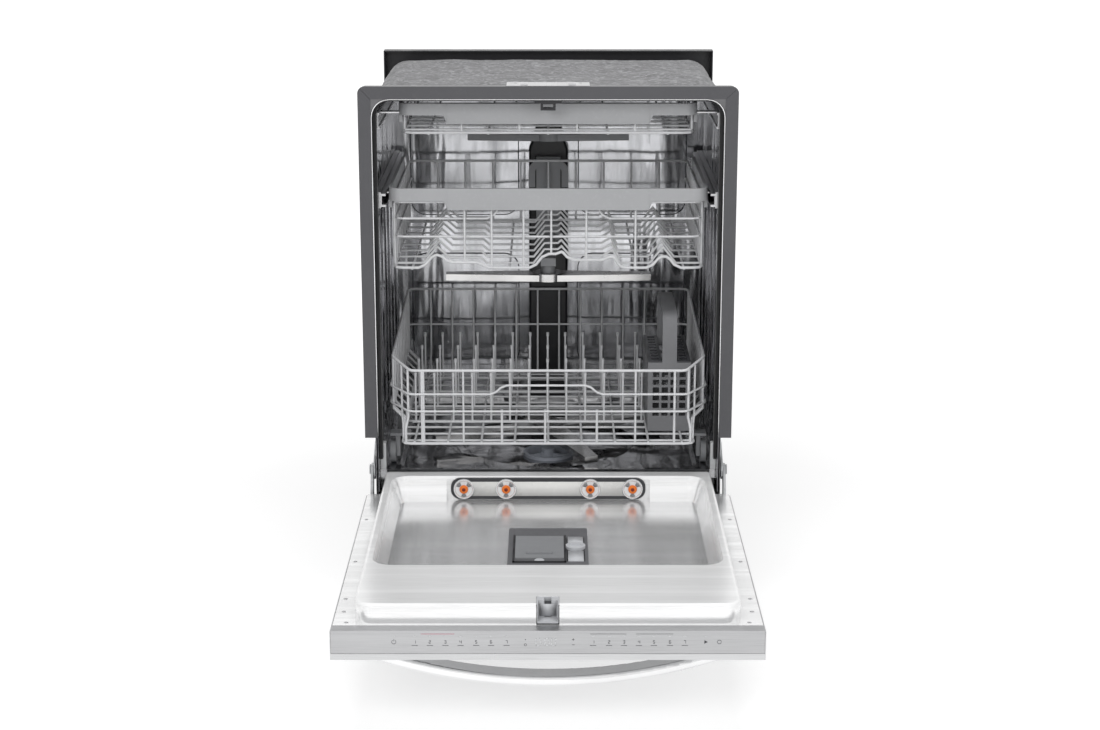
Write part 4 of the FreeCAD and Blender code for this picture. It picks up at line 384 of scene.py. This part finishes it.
def arch_path(half, low, high, radius, step, corner_steps=6):
    """Points up one side, over the roof and down the other, with the outward normal of each."""
    path = []

    def straight(start, end, normal):
        count = max(2, round((Vector(end) - Vector(start)).length / step))
        for index in range(count):
            path.append((Vector(start).lerp(Vector(end), index / count), Vector(normal)))

    def corner(middle_x, start):
        for index in range(corner_steps):
            angle = start - index * math.pi / (2 * corner_steps)
            normal = Vector((math.cos(angle), math.sin(angle)))
            path.append((Vector((middle_x, high - radius)) + normal * radius, normal))

    straight((-half, low), (-half, high - radius), (-1, 0))
    corner(-half + radius, math.pi)
    straight((-half + radius, high), (half - radius, high), (0, 1))
    corner(half - radius, math.pi / 2)
    straight((half, high - radius), (half, low), (1, 0))
    path.append((Vector((half, low)), Vector((1, 0))))
    return path

# ---------------------------------------------------------------- felt, mouth and flange

BLANKET_THICK = 0.0088
BLANKET_CORNER = 0.0385
BLANKET_ROWS = 46
BLANKET_STEP = 0.011
CUT_EDGE = 0.012            # width along which the blanket thins towards its cut edges
EDGE_SINK = 0.003           # how far it thins there
MEAN_SINK = 0.0018          # how far its face lies inside the stated box
LUMPS = ((0.0016, 16), (0.0007, 70))        # each a height and a scale
PAD_FIELDS = 44
PAD_SINK, PAD_LUMP, PAD_SCALE = 0.0015, 0.0014, 30
PAD_AIR = 0.004             # between the door's pad and the dispenser


def felt_lumps(x, y, z):
    return sum(height * noise.noise(Vector((x * scale, y * scale, z * scale))) for height, scale in LUMPS)


def blanket(shape):
    """Felt wrapped over the tub: an even pad that dimples and thins towards its cut edges."""
    low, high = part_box("insulation_blanket")
    path = arch_path(high.x, low.z, high.z, BLANKET_CORNER, BLANKET_STEP)
    length = high.y - low.y
    rings = []
    for row in range(BLANKET_ROWS + 1):
        share = row / BLANKET_ROWS
        y = low.y + length * share
        edge = min(share, 1 - share) * length
        thinning = EDGE_SINK * max(0.0, 1 - edge / CUT_EDGE) ** 2
        outside, inside = [], []
        for spot, normal in path:
            sink = MEAN_SINK + felt_lumps(spot.x, y, spot.y) + thinning
            out = spot - normal * max(0.0, sink)
            base = spot - normal * BLANKET_THICK
            outside.append(shape.verts.new((out.x, y, out.y)))
            inside.append(shape.verts.new((base.x, y, base.y)))
        rings.append(outside + inside[::-1])
    skin_strip(shape, rings, len(path))


def mouth_edge_highlight(shape):
    """Rolled edge round the tub's mouth, just inside the trims; its brightness is a painted highlight."""
    low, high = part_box("frame_trims")
    inset, behind, foot = 0.0208, 0.0030, 0.002
    radius, corner, step, sides = 0.0012, 0.0287, 0.04, 8
    rings = []
    for spot, normal in arch_path(high.x - inset, low.z + foot, high.z - inset, corner, step):
        rings.append([])
        for aside, back in circle(radius, sides):
            out = spot + normal * aside
            rings[-1].append(shape.verts.new((out.x, low.y + behind + back, out.y)))
    skin(shape, rings)


def door_pad(shape):
    """Insulation pad inside the door, with soft faces and a gap round the dispenser."""
    low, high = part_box("door_insulation")
    slot_low, slot_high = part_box("dispenser_body")
    size = high - low
    bmesh.ops.create_grid(shape, x_segments=PAD_FIELDS, y_segments=PAD_FIELDS, size=0.5)
    for vert in shape.verts:
        vert.co = (low.x + size.x * (vert.co.x + 0.5), low.y + size.y * (vert.co.y + 0.5), high.z)
    hole = []
    for face in shape.faces:
        middle = face.calc_center_median()
        if (slot_low.x - PAD_AIR < middle.x < slot_high.x + PAD_AIR
                and slot_low.y - PAD_AIR < middle.y < slot_high.y + PAD_AIR):
            hole.append(face)
    bmesh.ops.delete(shape, geom=hole, context="FACES")
    made = bmesh.ops.extrude_face_region(shape, geom=list(shape.faces))
    for item in made["geom"]:
        if isinstance(item, bmesh.types.BMVert):
            item.co.z = low.z
    for vert in shape.verts:
        sink = PAD_SINK + PAD_LUMP * noise.noise(vert.co * PAD_SCALE)
        underneath = vert.co.z < (low.z + high.z) / 2
        vert.co.z += sink if underneath else -sink


FLANGE_Z = 0.180
FLANGE_SCREWS = ((0.2905, -0.105), (0.2905, -0.300), (0.2905, -0.455), (0.2885, -0.505), (0.281, -0.546))
SCREW_RADIUS, SCREW_HEIGHT, SCREW_SIDES = 0.0032, 0.0005, 24
SCREW_RECESS = ((0.34, 0.55), (0.36, 1.0))      # each a share of the radius and of the height
SCREW_DOME = ((0.6, 0.95), (0.85, 0.75), (1.0, 0.35), (1.0, 0.0))


def screw_heads(shape):
    """Low pan heads with a cross recess, along both sides of the liner's flange."""
    for side in (-1, 1):
        for x, y in FLANGE_SCREWS:
            rings = []
            for share, level in SCREW_RECESS + SCREW_DOME:
                points = []
                for k, (dx, dy) in enumerate(circle(share * SCREW_RADIUS, SCREW_SIDES)):
                    cross = (0.55 if k % 6 else 1.45) if (share, level) in SCREW_RECESS else 1.0
                    points.append(shape.verts.new((side * x + dx * cross, y + dy * cross,
                                                   FLANGE_Z + level * SCREW_HEIGHT)))
                rings.append(points)
            skin(shape, rings)


blanket_piece = piece("felt_blanket", blanket, "felt", "cabinet")
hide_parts("insulation_blanket")
pad_piece = piece("door_felt", door_pad, "felt", "door")
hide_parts("door_insulation")
# The bright edge round the mouth is a painted highlight.
piece("mouth_edge_highlight", mouth_edge_highlight, "lip", "cabinet")
piece("flange_screws", screw_heads, "rail", "door")

# ---------------------------------------------------------------- control panel

PANEL_LOW, PANEL_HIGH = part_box("control_panel")
PRINT_BACK = PANEL_LOW.y - 0.00002
PRINT_FRONT = PRINT_BACK - 0.0002
MARK_Z = PANEL_HIGH.z - 0.0165
UNDERLINE_Z = MARK_Z - 0.0052
LAMP_Z = MARK_Z + 0.0085
GROUP_Z = MARK_Z + 0.0118
LOW_MARK_Z = MARK_Z - 0.0042
STROKE, FINE_STROKE = 0.0006, 0.0005
DIGIT_HIGH, UNDERLINE_WIDE = 0.0042, 0.0085
DISPLAY_HIGH, DISPLAY_STROKE = 0.0105, 0.0013
DISPLAY_X, COLON_X, COLON_HALF = (-0.0135, -0.0012, 0.0081), -0.0072, 0.0026
SIGN = 0.0034               # length of the plus and the minus
PROGRAM_X = (-0.1838, -0.163, -0.1415, -0.1205, -0.099, -0.0784, -0.057)
OPTION_X = (0.0626, 0.0846, 0.1053, 0.126, 0.1466, 0.1687, 0.1893)
OPTION_GROUPS = ((0.0585, 0.1086), (0.1216, 0.173))
ACCENT_X, ACCENT_WIDE = -0.152, 0.046
POWER_X, LOCK_X, SIGNS_X, START_X, RESET_X = -0.2127, -0.031, 0.0351, 0.2184, 0.2368
START_REAR, START_TIP, START_HALF = 0.2162, 0.2208, 0.0026
SEGMENTS = {"0": "abcdef", "1": "bc", "2": "abged", "3": "abgcd", "4": "fgbc", "5": "afgcd", "6": "afgcde",
            "7": "abc"}


def flat(shape, outline):
    """A thin printed shape on the control panel."""
    slab(shape, outline, PRINT_BACK, PRINT_FRONT)


def disc(shape, x, z, radius):
    flat(shape, [(x + across, z + up) for across, up in circle(radius, 16)])


def ring(shape, x, z, radius, thick, start=0.0, end=2 * math.pi):
    """An arc of a ring in short pieces."""
    steps = 20
    for k in range(steps):
        spots = []
        for angle, reach in ((k, radius), (k + 1, radius), (k + 1, radius - thick), (k, radius - thick)):
            turn = start + (end - start) * angle / steps
            spots.append((x + reach * math.cos(turn), z + reach * math.sin(turn)))
        flat(shape, spots)


def bar(shape, x, z, wide, high):
    flat(shape, [(x - wide / 2, z - high / 2), (x + wide / 2, z - high / 2), (x + wide / 2, z + high / 2),
                 (x - wide / 2, z + high / 2)])


def digit(shape, number, x, z, high, stroke):
    """A plain digit of straight strokes."""
    wide = high * 0.55
    places = {"a": (0, high / 2, wide, stroke), "g": (0, 0, wide, stroke), "d": (0, -high / 2, wide, stroke),
              "b": (wide / 2, high / 4, stroke, high / 2), "c": (wide / 2, -high / 4, stroke, high / 2),
              "f": (-wide / 2, high / 4, stroke, high / 2), "e": (-wide / 2, -high / 4, stroke, high / 2)}
    for letter in SEGMENTS[number]:
        across, up, bar_wide, bar_high = places[letter]
        bar(shape, x + across, z + up, bar_wide, bar_high)


def printed(shape):
    """Plain digits, dots and strokes at each touch field."""
    for fields in (PROGRAM_X, OPTION_X):
        for number, x in enumerate(fields, start=1):
            digit(shape, str(number), x, MARK_Z, DIGIT_HIGH, STROKE)
            bar(shape, x, UNDERLINE_Z, UNDERLINE_WIDE, STROKE)
    ring(shape, POWER_X, MARK_Z, 0.0032, STROKE, math.radians(120), math.radians(420))
    bar(shape, POWER_X, MARK_Z + 0.0026, STROKE, 0.0032)
    ring(shape, LOCK_X, LOW_MARK_Z, 0.0018, FINE_STROKE)
    disc(shape, LOCK_X, MARK_Z + 0.0035, 0.0007)
    bar(shape, SIGNS_X, MARK_Z + 0.0036, SIGN, STROKE)
    bar(shape, SIGNS_X, MARK_Z + 0.0036, STROKE, SIGN)
    bar(shape, SIGNS_X, LOW_MARK_Z, SIGN, STROKE)
    flat(shape, [(START_REAR, MARK_Z - START_HALF), (START_TIP, MARK_Z), (START_REAR, MARK_Z + START_HALF)])
    ring(shape, RESET_X, MARK_Z, 0.003, STROKE)
    for low, high in OPTION_GROUPS:
        bar(shape, (low + high) / 2, GROUP_Z, high - low, FINE_STROKE)


def lamps(shape):
    """Small indicator strokes above the fields."""
    for x in PROGRAM_X + OPTION_X + (POWER_X, START_X):
        bar(shape, x, LAMP_Z, 0.0048, 0.0009)


def accent(shape):
    """Red line over a group of programs."""
    bar(shape, ACCENT_X, GROUP_Z, ACCENT_WIDE, STROKE)


def display(shape):
    """Unlit digits behind the panel's face, with a colon."""
    for x in DISPLAY_X:
        digit(shape, "0", x, MARK_Z, DISPLAY_HIGH, DISPLAY_STROKE)
    for up in (COLON_HALF, -COLON_HALF):
        disc(shape, COLON_X, MARK_Z + up, 0.0008)


piece("panel_marks", printed, "print", "door")
piece("panel_lamps", lamps, "lamp", "door")
piece("panel_accent", accent, "accent", "door")
piece("panel_display", display, "lamp", "door")

# ---------------------------------------------------------------- nozzle bar, dispenser and latch

NOZZLE_LOW, NOZZLE_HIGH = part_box("steam_nozzles")
NOZZLE_FACE = NOZZLE_LOW.y + 0.0025
NOZZLE_Z = (NOZZLE_LOW.z + NOZZLE_HIGH.z) / 2
NOZZLE_X = (-0.1395, -0.0696, 0.0696, 0.1395)
TOWARDS_FRONT = (0, -1, 0)
RIM_PROFILE = ((0.0168, -0.0004), (0.0168, 0.0011), (0.0155, 0.0017), (0.0142, 0.0011), (0.0142, -0.0004))
CAP_PROFILE = ((0.0072, 0.0), (0.0072, 0.0018), (0.0064, 0.0029), (0.0046, 0.0032), (0.001, 0.0029))
BORE_PROFILE = ((0.003, 0.0), (0.003, 0.0006))
WINDOW_TURNS = (42, 138, 270)
WINDOW_OUTLINE = ((-0.36, 0.0132), (0.0, 0.0136), (0.36, 0.0132), (0.3, 0.0082), (-0.3, 0.0082))


def nozzle_rims(shape):
    """Raised lip round each nozzle's face."""
    for x in NOZZLE_X:
        turned(shape, RIM_PROFILE, (x, NOZZLE_FACE, NOZZLE_Z), TOWARDS_FRONT, 40)


def nozzle_cores(shape):
    """Orange cap over each nozzle's tip."""
    for x in NOZZLE_X:
        turned(shape, CAP_PROFILE, (x, NOZZLE_FACE - 0.0002, NOZZLE_Z), TOWARDS_FRONT)


def nozzle_windows(shape):
    """Dark windows between the spokes of each nozzle; an outline is angle and reach."""
    for x in NOZZLE_X:
        for turn in WINDOW_TURNS:
            centre = math.radians(turn)
            outline = [(x + reach * math.cos(centre + angle), NOZZLE_Z + reach * math.sin(centre + angle))
                       for angle, reach in WINDOW_OUTLINE]
            slab(shape, outline, NOZZLE_FACE + 0.0001, NOZZLE_FACE - 0.0003)


def nozzle_bore_shades(shape):
    """Dark mouth in the middle of each nozzle: a disc of painted shade for the inside of its bore."""
    for x in NOZZLE_X:
        turned(shape, BORE_PROFILE, (x, NOZZLE_LOW.y - 0.0006, NOZZLE_Z), TOWARDS_FRONT, 16)


def bar_plate(shape):
    """Bright plate let into the nozzle bar."""
    low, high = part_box("steam_bar")
    middle = (low.z + high.z) / 2
    inset, half = 0.012, 0.0122
    block(shape, (low.x + inset, low.y - 0.0009, middle - half),
          (high.x - inset, low.y + 0.0002, middle + half))


LID_LOW, LID_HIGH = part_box("dispenser_lid")
DISPENSER_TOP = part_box("dispenser_body")[1].z
SUNK = DISPENSER_TOP - 0.0002       # where the pieces on the dispenser begin, a little inside it
LIP_WIDE = 0.0028


def dispenser_frame(shape):
    """Black lips on three sides of the sliding lid, a flush one where it slides out, and two slots."""
    left, right = LID_LOW.x - 0.0035, LID_HIGH.x + 0.0035
    front, rear = LID_LOW.y - 0.016, LID_HIGH.y + 0.004
    lip_top, flush_top = DISPENSER_TOP + 0.0021, DISPENSER_TOP + 0.0001
    block(shape, (left, front, SUNK), (left + LIP_WIDE, rear, lip_top))
    block(shape, (right - LIP_WIDE, front, SUNK), (right, rear, lip_top))
    block(shape, (left, front, SUNK), (right, front + LIP_WIDE, lip_top))
    block(shape, (left, rear - LIP_WIDE, SUNK), (right, rear, flush_top))
    for centre in (0.0292, 0.0552):
        block(shape, (centre - 0.0008, front + 0.006, SUNK),
              (centre + 0.0008, rear - 0.01, DISPENSER_TOP + 0.0005))


def dispenser_cover(shape):
    """Pale plates before and behind the rinse-aid cap."""
    cap_low, cap_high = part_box("rinse_aid_cap")
    air = 0.0015
    for near, far in ((LID_LOW.y - 0.012, cap_low.y - air), (cap_high.y + air, LID_HIGH.y - 0.002)):
        block(shape, (0.0305, near, SUNK), (0.0538, far, DISPENSER_TOP + 0.0016))


def dispenser_tab(shape):
    """Round tab that releases the lid."""
    turned(shape, ((0.0075, 0.0), (0.0075, 0.0014), (0.006, 0.0022)),
           ((LID_LOW.x + LID_HIGH.x) / 2, LID_LOW.y - 0.0075, DISPENSER_TOP - 0.0001), (0, 0, 1), 28)


LATCH_LOW, LATCH_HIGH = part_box("door_latch")
MOUTH_END = LATCH_LOW.y + 0.0172


def latch_back(shape):
    """Pale plate at the end of the latch's mouth."""
    half, rim, thick = 0.0115, 0.0055, 0.0006
    block(shape, (-half, MOUTH_END, LATCH_LOW.z + rim), (half, MOUTH_END + thick, LATCH_HIGH.z - rim))


def latch_lips(shape):
    """Dark seam round the latch, and a dark lining on both sides of its mouth."""
    wide, front, behind = 0.0012, LATCH_LOW.y - 0.0001, LATCH_LOW.y + 0.0006
    for x in (LATCH_LOW.x - 0.0002, LATCH_HIGH.x - 0.0010):
        block(shape, (x, front, LATCH_LOW.z), (x + wide, behind, LATCH_HIGH.z))
    block(shape, (LATCH_LOW.x, front, LATCH_LOW.z), (LATCH_HIGH.x, behind, LATCH_LOW.z + wide))
    for x in (-0.01345, 0.01315):
        block(shape, (x, LATCH_LOW.y + 0.0012, LATCH_LOW.z + 0.0045),
              (x + 0.0003, MOUTH_END, LATCH_HIGH.z - 0.001))


piece("nozzle_rims", nozzle_rims, "chrome", "door")
piece("nozzle_cores", nozzle_cores, "orange", "door")
piece("nozzle_windows", nozzle_windows, "grey", "door")
# Discs of painted shade in the nozzles' bores.
piece("nozzle_bore_shades", nozzle_bore_shades, "mouth", "door")
piece("steam_bar_plate", bar_plate, "plate", "door")
piece("dispenser_lips", dispenser_frame, "black", "door")
piece("dispenser_cover", dispenser_cover, "pale", "door")
piece("dispenser_tab", dispenser_tab, "pale", "door")
piece("latch_back", latch_back, "pale", "door")
piece("latch_lips", latch_lips, "dark", "door")

# ---------------------------------------------------------------- stage, light and camera

FLOOR_HALF = 30.0
FLOOR_DROP = 0.0005         # the floor lies this far under the feet
LIT_PAINT, SEEN_PAINT = 0.92, 0.6
GLOW_NEAR, GLOW_FAR = 0.6, 0.94
GLOW_START, GLOW_END = 0.9, 2.4
SKY_LIGHT, SKY_SEEN = 0.3, 1.0
LAMPS = (                   # name, place, target, size, watts
    ("key", (-1.2, -3.0, 2.0), (0, 0, 0.45), (1.6, 1.2), 42),
    ("fill", (1.5, -2.7, 1.5), (0, 0, 0.45), (1.4, 1.4), 26),
    ("top", (0, -0.2, 2.6), (0, 0, 0.4), (1.6, 1.6), 30),
)
CAMERA_PLACE = (0.003, -3.274, 1.266)
CAMERA_DOWN = 14.69         # degrees below level
CAMERA_SENSOR, CAMERA_LENS = 36, 68.47      # mm


def maths(tree, operation, first, second):
    item = tree.nodes.new("ShaderNodeMath")
    item.operation = operation
    tree.links.new(first, item.inputs[0])
    tree.links.new(second, item.inputs[1])
    return item.outputs[0]


def seen_directly(tree):
    """1 for rays from the camera and those that metal and glass send on."""
    rays = tree.nodes.new("ShaderNodeLightPath").outputs
    straight_or_mirrored = maths(tree, "MAXIMUM", rays["Is Camera Ray"], rays["Is Glossy Ray"])
    return maths(tree, "MAXIMUM", straight_or_mirrored, rays["Is Transmission Ray"])


def floor_paint():
    """White paint: what the camera sees of it glows, more so farther from the object."""
    look = bpy.data.materials.new("floor_paint")
    look.use_nodes = True
    tree = look.node_tree
    shader = tree.nodes["Principled BSDF"]
    shader.inputs["Roughness"].default_value = 0.9
    shader.inputs["Specular IOR Level"].default_value = 0.0
    shader.inputs["Emission Color"].default_value = (1, 1, 1, 1)
    seen = seen_directly(tree)
    tree.links.new(remapped(tree, seen, LIT_PAINT, SEEN_PAINT), shader.inputs["Base Color"])
    place = tree.nodes.new("ShaderNodeTexCoord").outputs["Object"]
    distance = tree.nodes.new("ShaderNodeVectorMath")
    distance.operation = "LENGTH"
    tree.links.new(place, distance.inputs[0])
    glow = remapped(tree, distance.outputs["Value"], GLOW_NEAR, GLOW_FAR, GLOW_START, GLOW_END)
    tree.links.new(maths(tree, "MULTIPLY", seen, glow), shader.inputs["Emission Strength"])
    return look


def add_stage():
    mesh = bpy.data.meshes.new("floor")
    shape = bmesh.new()
    bmesh.ops.create_grid(shape, x_segments=1, y_segments=1, size=FLOOR_HALF)
    shape.to_mesh(mesh)
    shape.free()
    floor = bpy.data.objects.new("floor", mesh)
    floor.location.z = -FLOOR_DROP
    bpy.context.scene.collection.objects.link(floor)
    mesh.materials.append(floor_paint())


def add_lamp(name, place, target, size, watts):
    """An area lamp that metal doesn't mirror."""
    data = bpy.data.lights.new(name, "AREA")
    data.shape = "RECTANGLE"
    data.size, data.size_y = size
    data.energy = watts
    lamp = bpy.data.objects.new(name, data)
    lamp.location = place
    lamp.rotation_euler = (Vector(target) - Vector(place)).to_track_quat("-Z", "Y").to_euler()
    lamp.visible_glossy = False
    bpy.context.scene.collection.objects.link(lamp)


def add_world():
    world = bpy.data.worlds.new("studio")
    bpy.context.scene.world = world
    world.use_nodes = True
    tree = world.node_tree
    sky = tree.nodes["Background"]
    sky.inputs["Color"].default_value = (1, 1, 1, 1)
    tree.links.new(remapped(tree, seen_directly(tree), SKY_LIGHT, SKY_SEEN), sky.inputs["Strength"])


def add_camera():
    data = bpy.data.cameras.new("camera")
    data.sensor_width = CAMERA_SENSOR
    data.lens = CAMERA_LENS
    camera = bpy.data.objects.new("camera", data)
    camera.location = CAMERA_PLACE
    camera.rotation_euler = (math.radians(90 - CAMERA_DOWN), 0, 0)
    bpy.context.scene.collection.objects.link(camera)
    bpy.context.scene.camera = camera


add_stage()
add_world()
for lamp_settings in LAMPS:
    add_lamp(*lamp_settings)
add_camera()
scene = bpy.context.scene
scene.view_settings.view_transform = "Standard"

bpy.context.view_layer.update()
